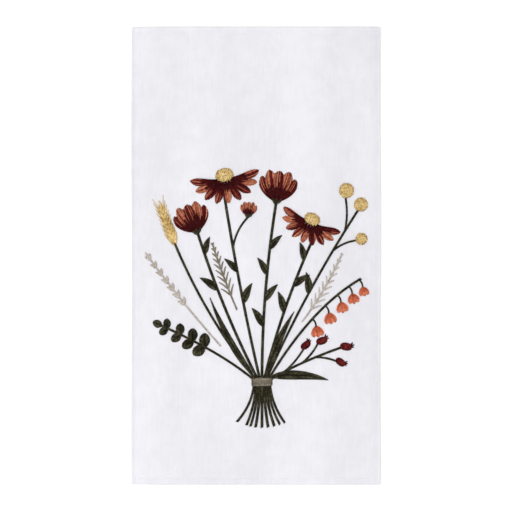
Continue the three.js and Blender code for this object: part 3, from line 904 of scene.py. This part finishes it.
# first and last are shares of the stem, and side is where the lowest leaf points: 1 is left.
LEAFY = [
    {"on": "poppy_left", "first": 0.62, "last": 0.86, "count": 2, "side": 1},
    {"on": "cone_left", "first": 0.44, "last": 0.62, "count": 2, "side": -1},
    {"on": "poppy_top", "first": 0.3, "last": 0.74, "count": 4, "side": 1},
    {"on": "cone_right", "first": 0.5, "last": 0.9, "count": 3, "side": 1},
    {"on": "globes", "first": 0.5, "last": 0.5, "count": 1, "side": 1},
]
GROOVE = 0.14  # half the gap between the two rows
SLANT_KEPT = 0.75  # a thread reaches forward by this share of what its slant alone would give
LEAF_HEIGHT = 0.95
# Painted sheen: the leaf's tone rises and falls in patches along it
LEAF_PAINTED_SHEEN = 0.12  # how far the shade comes and goes along a leaf
LEAF_PAINTED_SHEEN_RUN = 3.4
LEAF_SHADE_SPREAD = 0.11


def split_satin(stitching, spine, width, form, dice, slant=48.0, shade=0.48):
    """Two rows of satin that slant forward from the groove along the middle of a leaf, with painted shade
    at each thread's ends and a painted highlight on its crown
    """
    for side in (1, -1):
        shares, length = evenly(spine, PITCH)
        reach = half_width(width, shares, **form)
        forward = math.tan(math.radians(slant)) * reach / length * SLANT_KEPT
        after = np.clip(shares + forward, 0, 1)
        edge = half_width(width, after, **form) + dice.normal(0, STITCH_WANDER, shares.size)
        start = along(spine, shares) + left_of(spine, shares) * side * GROOVE
        end = along(spine, after) + left_of(spine, after) * (side * edge)[:, None]
        points = arches(
            start, end, [0.62, 0.93, 1, 0.72, 0], [0, 0.2, 0.45, 0.86, 1], LEAF_HEIGHT * rise(reach), 0)
        painted_sheen = LEAF_PAINTED_SHEEN * np.sin(shares * length / LEAF_PAINTED_SHEEN_RUN + dice.uniform(0, 6))
        tone = shade + painted_sheen[:, None] + dice.normal(0, LEAF_SHADE_SPREAD, (reach.size, 1))
        # Painted shade at each thread's ends, in the groove and at the leaf's edge, and a painted
        # highlight on its crown
        stitching.lay(points, tone + np.array([-0.3, 0, 0.14, 0, -0.26]), THREAD_WIDE, THREAD_HIGH)
    pad(stitching, spine, width, form, LEAF_HEIGHT * 0.78, full=0.9)


def leaf_spines(spine, leaf, row):
    """Where each leaf, grain or bud of a row lies, and its size: in pairs, or by turns if side is given"""
    made = []
    for i in range(row["count"]):
        share = i / max(1, row["count"] - 1)
        t = row["first"] + (row["last"] - row["first"]) * share
        size = 1 + (leaf["taper"] - 1) * share
        sides = [row["side"] * (-1 if i % 2 else 1)] if "side" in row else [1, -1]
        for side in sides:
            degrees = heading(spine, t) + side * leaf["spread"]
            made.append((bow(along(spine, t), degrees, leaf["length"] * size, -side * leaf["bend"]), size))
    if row.get("tipped"):
        size = leaf["taper"]
        made.append((bow(along(spine, 1), heading(spine, 1), leaf["length"] * size), size))
    return made


leaf_dice = np.random.default_rng(22)
willow_leaves = Stitching()
for leafy_row in LEAFY:
    for spine, size in leaf_spines(spines[leafy_row["on"]], WILLOW_LEAF, leafy_row):
        shade = leaf_dice.uniform(0.4, 0.56)
        split_satin(willow_leaves, spine, WILLOW_LEAF["width"] * size, WILLOW, leaf_dice, shade=shade)
willow_piece = willow_leaves.sew("willow_leaf_stitches", olive)
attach(willow_piece, "root")
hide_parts("greenery")


# Eucalyptus leaves
# Round leaves in pairs on the lowest left stem, each in split satin stitch of olive thread.
COIN = {"skew": 1.0, "fullness": 0.5}
COIN_LEAF = {"length": 14.0, "width": 11.0, "spread": 62.0, "bend": 0.1, "taper": 0.7}
COIN_ROW = {"first": 0.6, "last": 0.95, "count": 4, "tipped": True}
coin_dice = np.random.default_rng(23)
coin_leaves = Stitching()
for spine, size in leaf_spines(spines["eucalyptus"], COIN_LEAF, COIN_ROW):
    shade = coin_dice.uniform(0.42, 0.6)
    split_satin(coin_leaves, spine, COIN_LEAF["width"] * size, COIN, coin_dice, slant=40, shade=shade)
coin_piece = coin_leaves.sew("eucalyptus_leaf_stitches", olive)
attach(coin_piece, "root")
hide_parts("greenery")


# Strap leaves
# Long blades that rise from the tie between the stems, in split satin stitch of olive thread.
STRAPS = [
    {"places": [(-3, -119), (-27, -90), (-46, -42)], "width": 6.5},
    {"places": [(14, -121), (44, -116), (72, -124)], "width": 9.0},
    {"places": [(10, -119), (20, -86), (38, -56)], "width": 7.0},
]
strap_dice = np.random.default_rng(24)
strap_leaves = Stitching()
for strap in STRAPS:
    spine = np.array(strap["places"], float)
    split_satin(strap_leaves, spine, strap["width"], WILLOW, strap_dice, slant=58)
strap_piece = strap_leaves.sew("strap_leaf_stitches", olive)
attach(strap_piece, "root")
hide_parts("greenery")


# Stem ends
# The cut ends of the nine stems, splayed below the tie, in the same olive satin stitch.
SPLAY = 0.42  # an end turns out by this share of its stem's lean
ENDS_VARY = 3.0  # the ends are cut this unevenly
end_dice = np.random.default_rng(25)
stem_ends = Stitching()
for order, stem_row in enumerate(STEMS.values()):
    start = GATHER - (stem_row["offset"], TIE_WIDTH / 4)
    length = STEM_END - TIE_WIDTH / 4 - ENDS_VARY * math.sin(stem_row["offset"] * 1.7) ** 2
    end = start + towards(270 + SPLAY * (stem_row["lean"] - 90), length)
    middle = np.array([start[0] + 0.1 * (end[0] - start[0]), start[1] - length / 2])
    below_tie = (TIE_WIDTH / 4 - TUCKED) / length
    satin(
        stem_ends, stretch(np.array([start, middle, end]), below_tie, 1), stem_row["width"], BAND,
        end_dice, level=STEM_LEVELS[order % 2])
end_piece = stem_ends.sew("stem_end_stitches", olive)
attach(end_piece, "root")
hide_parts("stem_ends")


# Tie
# Taupe thread wound across the gathered stems, in close parallel wraps over their padding.
taupe = twisted_thread("taupe_rayon", "#4E473C", "#7A7264", "#A59D8D", 0.42, 0.04 * MM)
tie_dice = np.random.default_rng(26)
tie = Stitching()
tie_spine = np.array([GATHER - (0, TIE_WIDTH / 2), GATHER, GATHER + (0, TIE_WIDTH / 2)])
satin(tie, tie_spine, TIE_LENGTH, BAND, tie_dice, crown=TIE_HEIGHT, slant=1.5, shade=0.5)
tie_piece = tie.sew("tie_wraps", taupe)
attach(tie_piece, "root")
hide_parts("tie")


# Coneflowers
# Drooping petals of burgundy rayon, every third one rust, in long-and-short stitch: rows of threads fan
# from the petal's root to its rim. A padded cone of gold knots on a brown ground stands over the roots.
PETAL = {"skew": 1.7, "fullness": 0.6}
PETAL_COUNT = 9
PETAL_LEVELS = (0.32, 0.0)
PETAL_SPREAD = 96.0  # from the middle petal to either outer one, in degrees
PETAL_DROOP = 0.16
# Shares of the flower's size
ROOTS = 0.15  # how far the petals' roots lie to either side
PETAL_LENGTH = {"middle": 0.56, "outer": 0.06}  # the outer ones are longer by this
PETAL_WIDTH = 0.17
CONE = {"behind": 0.08, "length": 0.3, "width": 0.4}
DOME_HEIGHT = 1.55
CONEFLOWERS = {
    "coneflower_left": {"place": (-31, 77.5), "turn": 99, "size": 46},
    "coneflower_right": {"place": (55, 34), "turn": 66, "size": 41},
}
FAN_THREAD_WIDE = THREAD_WIDE * 1.06  # they lie a little flatter than in satin stitch
RIM_ROUND = 0.22  # a shape's threads draw together by this much at its rim
ROOT_SHADE = 0.18
SIDES_FALL = 0.72  # a petal's round has closed this far at its sides
# Painted sheen: lighter and darker stripes across a petal
PAINTED_SHEEN_STRIPES = 0.13  # how far the shade comes and goes across a petal
ACCENTS = 0.22  # the share of a rim's threads that has another colour


def fan(rims, roots, accents, spine, width, form, dice, crown=0.95, level=0.0, light=0.66):
    """Long-and-short stitch in two tiers: a darker one from the root and a lighter one out to the rim.
    rims, roots and accents take the rim's threads, the root's, and a few of another colour between."""
    columns = max(5, round(width / PITCH))
    aside = (2 * np.arange(columns) + 1) / columns - 1
    shares = np.linspace(0, 1, 121)
    outline = half_width(width, shares, **form) / (width / 2)
    widest = shares[outline.argmax()]
    past = np.maximum(0, shares - widest) / (1 - widest)
    opening = np.where(shares < widest, outline, 1 - RIM_ROUND * past ** 2)
    inside = np.abs(aside)[:, None] * opening <= outline + 1e-6
    rim = shares[shares.size - 1 - inside[:, ::-1].argmax(axis=1)]
    painted_sheen_stripes = PAINTED_SHEEN_STRIPES * np.sin(1.3 * np.arange(columns) + dice.uniform(0, 6))
    odd = np.arange(columns) % 2
    is_accent = dice.random(columns) < ACCENTS
    tiers = [
        {"from": rim * dice.uniform(0.28, 0.5, columns), "to": rim * dice.uniform(0.97, 1.0, columns),
         "shades": (light - 0.22, light), "ends": (0.8, 0.0), "under": 0.0},
        {"from": 0.03 + 0.2 * odd, "to": rim * dice.uniform(0.46, 0.74, columns),
         "shades": (ROOT_SHADE, light - 0.2), "ends": (0.25, 0.72), "under": 0.07},
    ]
    steps = np.linspace(0, 1, 7)
    for tier in tiers:
        t = tier["from"][:, None] * (1 - steps) + tier["to"][:, None] * steps
        reach = aside[:, None] * np.interp(t, shares, opening) * width / 2
        flat = along(spine, t) + left_of(spine, t) * reach[..., None]
        swell = rise(np.interp(t, shares, outline) * width / 2)
        dome_height = crown * np.sqrt(1 - SIDES_FALL * aside[:, None] ** 2) * swell
        ends = np.where(steps < 0.5, tier["ends"][0], tier["ends"][1])
        settle = ends + (1 - ends) * (1 - np.abs(2 * steps - 1) ** 5)
        points = on_cloth(flat, (dome_height + level + tier["under"]) * settle - DIVE)
        shade = tier["shades"][0] + (tier["shades"][1] - tier["shades"][0]) * steps
        tone = shade + painted_sheen_stripes[:, None] + dice.normal(0, 0.08, (columns, 1))
        if tier["under"] == 0:
            rims.lay(points[~is_accent], tone[~is_accent], FAN_THREAD_WIDE, THREAD_HIGH)
            accents.lay(points[is_accent], tone[is_accent], FAN_THREAD_WIDE, THREAD_HIGH)
        else:
            roots.lay(points, tone, FAN_THREAD_WIDE, THREAD_HIGH)
    pad(roots, spine, width, form, crown * 0.85, level, last=0.86)


def ring_form(sides, steps, thick):
    """A small ring of thread, spun from a circle about Z, with the faces and places that keep() takes"""
    bm = bmesh.new()
    bmesh.ops.create_circle(bm, cap_ends=False, segments=sides, radius=thick)
    bmesh.ops.rotate(bm, verts=bm.verts, cent=(0, 0, 0), matrix=Matrix.Rotation(math.pi / 2, 3, "X"))
    bmesh.ops.translate(bm, verts=bm.verts, vec=(1 - thick, 0, 0))
    bmesh.ops.spin(
        bm, geom=bm.verts[:] + bm.edges[:], cent=(0, 0, 0), axis=(0, 0, 1), angle=2 * math.pi,
        steps=steps, use_merge=True)
    bmesh.ops.remove_doubles(bm, verts=bm.verts, dist=1e-4)
    bmesh.ops.recalc_face_normals(bm, faces=bm.faces)
    bm.verts.index_update()
    places = np.array([v.co[:] for v in bm.verts])
    loops = []
    starts = []
    for face in bm.faces:
        starts.append(len(loops))
        loops.extend(v.index for v in face.verts)
    bm.free()
    return places, np.array(loops), np.array(starts)


KNOT_THICK = 0.46  # half the thread's width in a knot, as a share of half the knot's
KNOT_FORM = ring_form(5, 7, KNOT_THICK)


def knots(stitching, places, facing, size, tone, dice):
    """French knots: small rings of wound thread, each laid flat on the way that its place faces"""
    form, loops, starts = KNOT_FORM
    count = len(places)
    sideways = unit(np.cross(facing, [0.3, 1.0, 0.2]))
    other = np.cross(facing, sideways)
    spin = dice.uniform(0, 2 * math.pi, count)[:, None]
    first = sideways * np.cos(spin) + other * np.sin(spin)
    second = np.cross(facing, first)
    size = (np.broadcast_to(size, count) * dice.uniform(0.9, 1.12, count))[:, None, None]
    made = places[:, None] + size * (
        form[None, :, :1] * first[:, None] + form[None, :, 1:2] * second[:, None]
        + form[None, :, 2:] * facing[:, None])
    turns = np.arctan2(form[:, 1], form[:, 0])
    tones = np.broadcast_to(np.reshape(tone, (-1, 1)), (count, len(form)))
    run = np.broadcast_to(turns, (count, len(form)))
    stitching.keep(made, tones, run, loops, starts, np.zeros(loops.size))


KNOT_SPACING = 1.75
KNOT_SIZE = 0.98  # half a knot's width
CLOSE_PACKED = 0.87  # each knot takes up this share of its spacing squared
DOME_EDGE = 0.94  # how far the dome's round has closed where the last knots lie
GOLDEN_TURN = math.pi * (3 - math.sqrt(5))  # turning by it spreads the knots evenly


def knotted_dome(stitching, start, degrees, length, width, height, dice):
    """A padded oval covered in knots over brown padding, the knots with painted shade towards the cloth
    and a painted highlight on top
    """
    count = round(math.pi / 4 * length * width / (KNOT_SPACING ** 2 * CLOSE_PACKED))
    order = np.arange(count)
    out = np.sqrt((order + 0.5) / count) * 0.97
    turn = order * GOLDEN_TURN
    ahead = towards(degrees)
    left = towards(degrees + 90)
    middle = start + ahead * length / 2
    along_it = np.outer(out * np.cos(turn) * length / 2, ahead)
    flat = middle + along_it + np.outer(out * np.sin(turn) * width / 2, left)
    swell = np.sqrt(1 - out ** 2 * DOME_EDGE)
    slope = height * DOME_EDGE * out / swell / ((length + width) / 4)
    outward = unit(flat - middle)
    facing = unit(np.concatenate([outward * slope[:, None], np.ones((count, 1))], axis=-1))
    # Painted light: a knot is lighter the higher it stands on the dome, and darker towards the cloth
    tone = 0.36 + 0.4 * swell + dice.normal(0, SHADE_SPREAD, count)
    knots(stitching, on_cloth(flat, height * swell), facing, KNOT_SIZE, tone, dice)
    ground_spine = bow(start, degrees, length)
    shares = 0.5 - 0.5 * np.cos(np.linspace(0.06, math.pi - 0.06, 11))
    reach = np.sqrt(1 - (2 * shares - 1) ** 2)
    points = on_cloth(along(ground_spine, shares), 0)
    stitching.lay(
        points[None], 0.0, (reach * width / 2)[None], (reach * height)[None], sides=14, underside=-0.05)


burgundy = twisted_thread("burgundy_rayon", "#170102", "#3F070B", "#7A2C27", 0.36, 0.04 * MM)
rust = twisted_thread("rust_rayon", "#672D1E", "#A05B43", "#CF9070", 0.36, 0.04 * MM)
gold = twisted_thread("gold_rayon", "#5C4123", "#BD9E62", "#E7D098", 0.36, 0.04 * MM)
cone_dice = np.random.default_rng(27)
for name, flower in CONEFLOWERS.items():
    centre = np.array(flower["place"], float)
    size = flower["size"]
    turn = flower["turn"]
    burgundy_petals = Stitching()
    rust_petals = Stitching()
    for i in range(PETAL_COUNT):
        share = 2 * i / (PETAL_COUNT - 1) - 1
        root = centre - towards(turn + 90, share * size * ROOTS)
        length = size * (PETAL_LENGTH["middle"] + PETAL_LENGTH["outer"] * abs(share))
        spine = bow(root, turn + 180 + share * PETAL_SPREAD, length, -share * PETAL_DROOP)
        rims, accents = (rust_petals, burgundy_petals) if i % 3 == 1 else (burgundy_petals, rust_petals)
        fan(
            rims, burgundy_petals, accents, spine, size * PETAL_WIDTH, PETAL, cone_dice,
            level=PETAL_LEVELS[i % 2])
    cone = Stitching()
    cone_start = centre - towards(turn, size * CONE["behind"])
    knotted_dome(
        cone, cone_start, turn, size * CONE["length"], size * CONE["width"], DOME_HEIGHT, cone_dice)
    for part, suffix, thread, slot_name, node in (
        (burgundy_petals, "burgundy_petals", burgundy, "burgundy_thread", name),
        (rust_petals, "rust_petals", rust, "rust_thread", name),
        (cone, "knotted_cone", gold, "gold_thread", f"{name}_cone"),
    ):
        flower_piece = part.sew(f"{name}_{suffix}", thread)
        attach(flower_piece, "root")
        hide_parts(node)


# Poppies
# Poppies seen from the side: five petals in long-and-short stitch that overlap into a cup, the front
# one on top. The two large ones are burgundy and rust, and the bud is rust on burgundy roots.
LOBE = {"skew": 1.5, "fullness": 0.6}
CUP = [
    {"open": -1.0, "width": 0.3, "length": 0.9, "level": 0.0},
    {"open": 1.0, "width": 0.3, "length": 0.9, "level": 0.0},
    {"open": -0.5, "width": 0.34, "length": 1.0, "level": 0.28},
    {"open": 0.5, "width": 0.34, "length": 1.0, "level": 0.28},
    {"open": 0.0, "width": 0.38, "length": 0.96, "level": 0.55},
]
CUP_SPREAD = 34.0  # degrees from the front petal to the outermost
CUP_BEND = 0.16
# The three small leaves that hold the cup
SEPAL = {"length": 7.5, "width": 2.6, "spread": 40.0, "bend": 0.14, "behind": 1.2}
BUD_SEPAL = 0.75  # the bud's have this share of their length
bud_tip = branches["bud"][2]
POPPIES = {
    "poppy_left": {"place": (-58.4, 23.0), "turn": 112, "size": 32, "form": PETAL},
    "poppy_top": {"place": (20.3, 53.1), "turn": 84, "size": 34, "form": PETAL},
    "poppy_bud": {"place": (bud_tip[0] + 0.2, bud_tip[1] + 1.1), "turn": 86, "size": 15, "form": LOBE},
}
poppy_dice = np.random.default_rng(28)
for name, flower in POPPIES.items():
    burgundy_petals = Stitching()
    rust_petals = Stitching()
    for petal in CUP:
        degrees = flower["turn"] + petal["open"] * CUP_SPREAD
        length = flower["size"] * petal["length"]
        spine = bow(np.array(flower["place"]), degrees, length, petal["open"] * CUP_BEND)
        is_rust = name == "poppy_bud" or abs(petal["open"]) == 0.5
        rims, accents = (rust_petals, burgundy_petals) if is_rust else (burgundy_petals, rust_petals)
        fan(
            rims, burgundy_petals, accents, spine, flower["size"] * petal["width"], flower["form"],
            poppy_dice, crown=0.8, level=petal["level"])
    calyx = Stitching()
    for opening, level in ((-1, 0.75), (1, 0.75), (0, 0.95)):
        base = np.array(flower["place"]) - towards(flower["turn"], SEPAL["behind"])
        length = SEPAL["length"] * (BUD_SEPAL if name == "poppy_bud" else 1.0)
        spine = bow(base, flower["turn"] + opening * SEPAL["spread"], length, opening * SEPAL["bend"])
        satin(calyx, spine, SEPAL["width"], WILLOW, poppy_dice, crown=0.55, level=level, slant=45)
    for part, suffix, thread, slot_name in (
        (burgundy_petals, "burgundy_petals", burgundy, "burgundy_thread"),
        (rust_petals, "rust_petals", rust, "rust_thread"),
        (calyx, "calyx", olive, "olive_thread"),
    ):
        flower_piece = part.sew(f"{name}_{suffix}", thread)
        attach(flower_piece, "root")
        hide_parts(name)


# Gold balls
# Round flower heads of gold French knots over brown padding, one at the end of its stem and one on
# each of its branches.
GLOBES = [
    {"on": spines["globes"], "turn": 62, "size": 14},
    {"on": branches["globe_top"], "turn": 85, "size": 15},
    {"on": branches["globe_low"], "turn": 15, "size": 12},
]
PAST_STEM = 1.2  # a ball starts this far past its stem's tip
globe_dice = np.random.default_rng(29)
for order, globe in enumerate(GLOBES, start=1):
    ball = Stitching()
    start = globe["on"][2] + towards(globe["turn"], PAST_STEM)
    knotted_dome(ball, start, globe["turn"], globe["size"], globe["size"], DOME_HEIGHT, globe_dice)
    ball_piece = ball.sew(f"globe_{order}_knots", gold)
    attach(ball_piece, "root")
    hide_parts(f"globe_{order}")


# Wheat ear
# Plump grains of gold satin stitch in pairs up the stem, each with its tip over the next, and fine awns
# of single threads that stand out past them.
GRAIN = {"skew": 0.62, "fullness": 0.75}
WHEAT_GRAIN = {"length": 13.0, "width": 5.0, "spread": 26.0, "bend": 0.06, "taper": 0.72}
WHEAT_ROW = {"first": 0.815, "last": 0.98, "count": 7, "tipped": True}
GRAIN_SLIM = 0.86  # the grains are drawn in to this share of their width, so that each one shows
AWN = {"length": 15.0, "width": 0.9, "spread": 17.0, "bend": 0.04, "aside": 2.0, "pairs": 8}
HAIR = {"skew": 0.6, "fullness": 0.5}
wheat_dice = np.random.default_rng(30)


def hairs(stitching, spine, width, dice, crown=0.5, shade=0.5, count=3):
    """Long threads side by side, as in an awn, a dried sepal or a hair of grass"""
    aside = np.linspace(-1, 1, count) if count > 1 else np.zeros(1)
    steps = np.linspace(0, 1, 5)
    t = np.broadcast_to(steps, (count, 5)) * dice.uniform(0.9, 1.0, (count, 1))
    reach = aside[:, None] * half_width(width, t, **HAIR) * 0.62
    flat = along(spine, t) + left_of(spine, t) * reach[..., None]
    points = on_cloth(flat, crown * (1 - np.abs(2 * steps - 1) ** 4) - DIVE)
    tone = shade + dice.normal(0, SHADE_SPREAD, (count, 1)) + 0.12 * steps
    stitching.lay(points, tone, THREAD_WIDE, THREAD_HIGH)


wheat = Stitching()
for order, (spine, size) in enumerate(leaf_spines(spines["wheat"], WHEAT_GRAIN, WHEAT_ROW)):
    # shadow=0.42 paints deeper shade where each grain's threads dive
    satin(
        wheat, spine, WHEAT_GRAIN["width"] * size * GRAIN_SLIM, GRAIN, wheat_dice, crown=0.9,
        level=0.25 * (order // 2 % 2), slant=38, shade=wheat_dice.uniform(0.42, 0.72), shadow=0.42)
for share in np.linspace(WHEAT_ROW["first"], 1, AWN["pairs"]):
    for side in (1, -1):
        start = along(spines["wheat"], share) + left_of(spines["wheat"], share) * side * AWN["aside"]
        degrees = heading(spines["wheat"], share) + side * AWN["spread"]
        spine = bow(start, degrees, AWN["length"], -side * AWN["bend"])
        hairs(wheat, spine, AWN["width"], wheat_dice, crown=0.45, shade=0.52, count=1)
wheat_piece = wheat.sew("wheat_grain_stitches", gold)
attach(wheat_piece, "root")
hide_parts("wheat_ear")


# Bells
# Coral bells that hang from the arching stem, three lobes each in long-and-short stitch, darker where
# they hang and lighter at the lip.
BELL_SIZES = (12, 12, 11.5, 11, 10)
BELL_MOUTH = -78
BELL_LOBE = {"width": 0.46, "spread": 22.0, "bend": 0.12, "past": 0.7}
coral = twisted_thread("coral_rayon", "#883723", "#B75C3F", "#D98C6D", 0.36, 0.04 * MM)
bell_dice = np.random.default_rng(31)
for order, (stalk, size) in enumerate(zip(bell_stalks, BELL_SIZES), start=1):
    bell = Stitching()
    start = stalk[2] + towards(BELL_MOUTH, BELL_LOBE["past"])
    for opening, level in ((-1, 0.0), (1, 0.0), (0, 0.3)):
        degrees = BELL_MOUTH + opening * BELL_LOBE["spread"]
        spine = bow(start, degrees, size, opening * BELL_LOBE["bend"])
        fan(
            bell, bell, bell, spine, size * BELL_LOBE["width"], LOBE, bell_dice, crown=0.8, level=level,
            light=0.72)
    bell_piece = bell.sew(f"bell_{order}_stitches", coral)
    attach(bell_piece, "root")
    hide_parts(f"bell_{order}")


# Rose hips
# Padded ovals of burgundy satin stitch, each with three dried sepals of the same thread at its end.
HIPS = [
    {"on": spines["hips"], "turn": 12, "size": 11.0},
    {"on": branches["hip_middle"], "turn": 40, "size": 10.5},
    {"on": branches["hip_low"], "turn": -14, "size": 10.0},
    {"on": branches["hip_high"], "turn": 60, "size": 10.0},
]
HIP_PAST = 0.6
HIP_WIDTH = 0.8  # a share of its size, as the sepals' length and place are
DRIED = {"at": 0.85, "length": 0.42, "spread": 36.0, "width": 1.6}
hip_dice = np.random.default_rng(32)
for order, fruit in enumerate(HIPS, start=1):
    hip = Stitching()
    start = fruit["on"][2] + towards(fruit["turn"], HIP_PAST)
    crown_start = start + towards(fruit["turn"], fruit["size"] * DRIED["at"])
    for opening in (-1, 0, 1):
        degrees = fruit["turn"] + opening * DRIED["spread"]
        spine = bow(crown_start, degrees, fruit["size"] * DRIED["length"])
        hairs(hip, spine, DRIED["width"], hip_dice, crown=0.6, shade=0.3)
    spine = bow(start, fruit["turn"], fruit["size"])
    satin(hip, spine, fruit["size"] * HIP_WIDTH, COIN, hip_dice, crown=1.4, slant=24, shade=0.55)
    hip_piece = hip.sew(f"hip_{order}_stitches", burgundy)
    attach(hip_piece, "root")
    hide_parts(f"hip_{order}")


# Lavender
# A long stalk of greige rayon in narrow satin stitch, with small slanting buds in pairs.
LAVENDER_BUD = {"length": 8.0, "width": 3.4, "spread": 30.0, "bend": 0.06, "taper": 0.8}
LAVENDER_STALK = 1.6
LAVENDER_ROW = {"first": 0.5, "last": 0.98, "count": 7, "tipped": True}
greige = twisted_thread("greige_rayon", "#857C73", "#B0A79D", "#D1C9C0", 0.42, 0.04 * MM)
lavender_dice = np.random.default_rng(33)
lavender = Stitching()
LAVENDER_LINE = np.array([(-10, -117), (-58, -68), (-107, -2)], float)  # up from the tie
LAVENDER_SHOWS = 0.26  # its stalk comes out from under the stems at this share of that line
lavender_spine = stretch(LAVENDER_LINE, LAVENDER_SHOWS, 1)
satin(lavender, lavender_spine, LAVENDER_STALK, BAND, lavender_dice, crown=0.6)
for spine, size in leaf_spines(lavender_spine, LAVENDER_BUD, LAVENDER_ROW):
    satin(
        lavender, spine, LAVENDER_BUD["width"] * size, GRAIN, lavender_dice, crown=0.85, level=0.1,
        slant=36)
lavender_piece = lavender.sew("lavender_stitches", greige)
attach(lavender_piece, "root")
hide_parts("lavender")


# Grass plumes
# Two feathery plumes, one taupe and one greige: a thin satin stalk and long single threads on both
# sides of it, which shorten towards the tip.
PLUMES = {
    "plume_left": {"thread": taupe, "slot": "taupe_thread", "length": 13.0,
                   "places": [(-19, -54), (-33.5, -20), (-43.5, 12)]},
    "plume_right": {"thread": greige, "slot": "greige_thread", "length": 12.0,
                    "places": [(46, -66), (68, -38), (86, 2)]},
}
PLUME_STALK = 1.5
PLUME_ROWS = 9
PLUME_FIRST = 0.2  # share of the stalk where the hairs start
PLUME_HAIR = {"spread": 32.0, "bend": 0.1, "width": 1.8}
plume_dice = np.random.default_rng(34)
for name, grass in PLUMES.items():
    plume = Stitching()
    stalk = np.array(grass["places"], float)
    satin(plume, stalk, PLUME_STALK, BAND, plume_dice, crown=0.6)
    for i in range(PLUME_ROWS):
        share = i / (PLUME_ROWS - 1)
        t = PLUME_FIRST + 0.78 * share
        size = math.sin(math.pi * (0.5 + 0.43 * share))
        for side in (1, -1):
            degrees = heading(stalk, t) + side * PLUME_HAIR["spread"]
            spine = bow(along(stalk, t), degrees, grass["length"] * size, -side * PLUME_HAIR["bend"])
            hairs(plume, spine, PLUME_HAIR["width"], plume_dice)
    plume_piece = plume.sew(f"{name}_stitches", grass["thread"])
    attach(plume_piece, "root")
    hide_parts(name)


# Size
# The CAD model's box and the finished model's, as lists of metres
size = {
    "cad": [list(cad_low), list(cad_high)],
    "visual": [list(corner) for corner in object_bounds()],
}
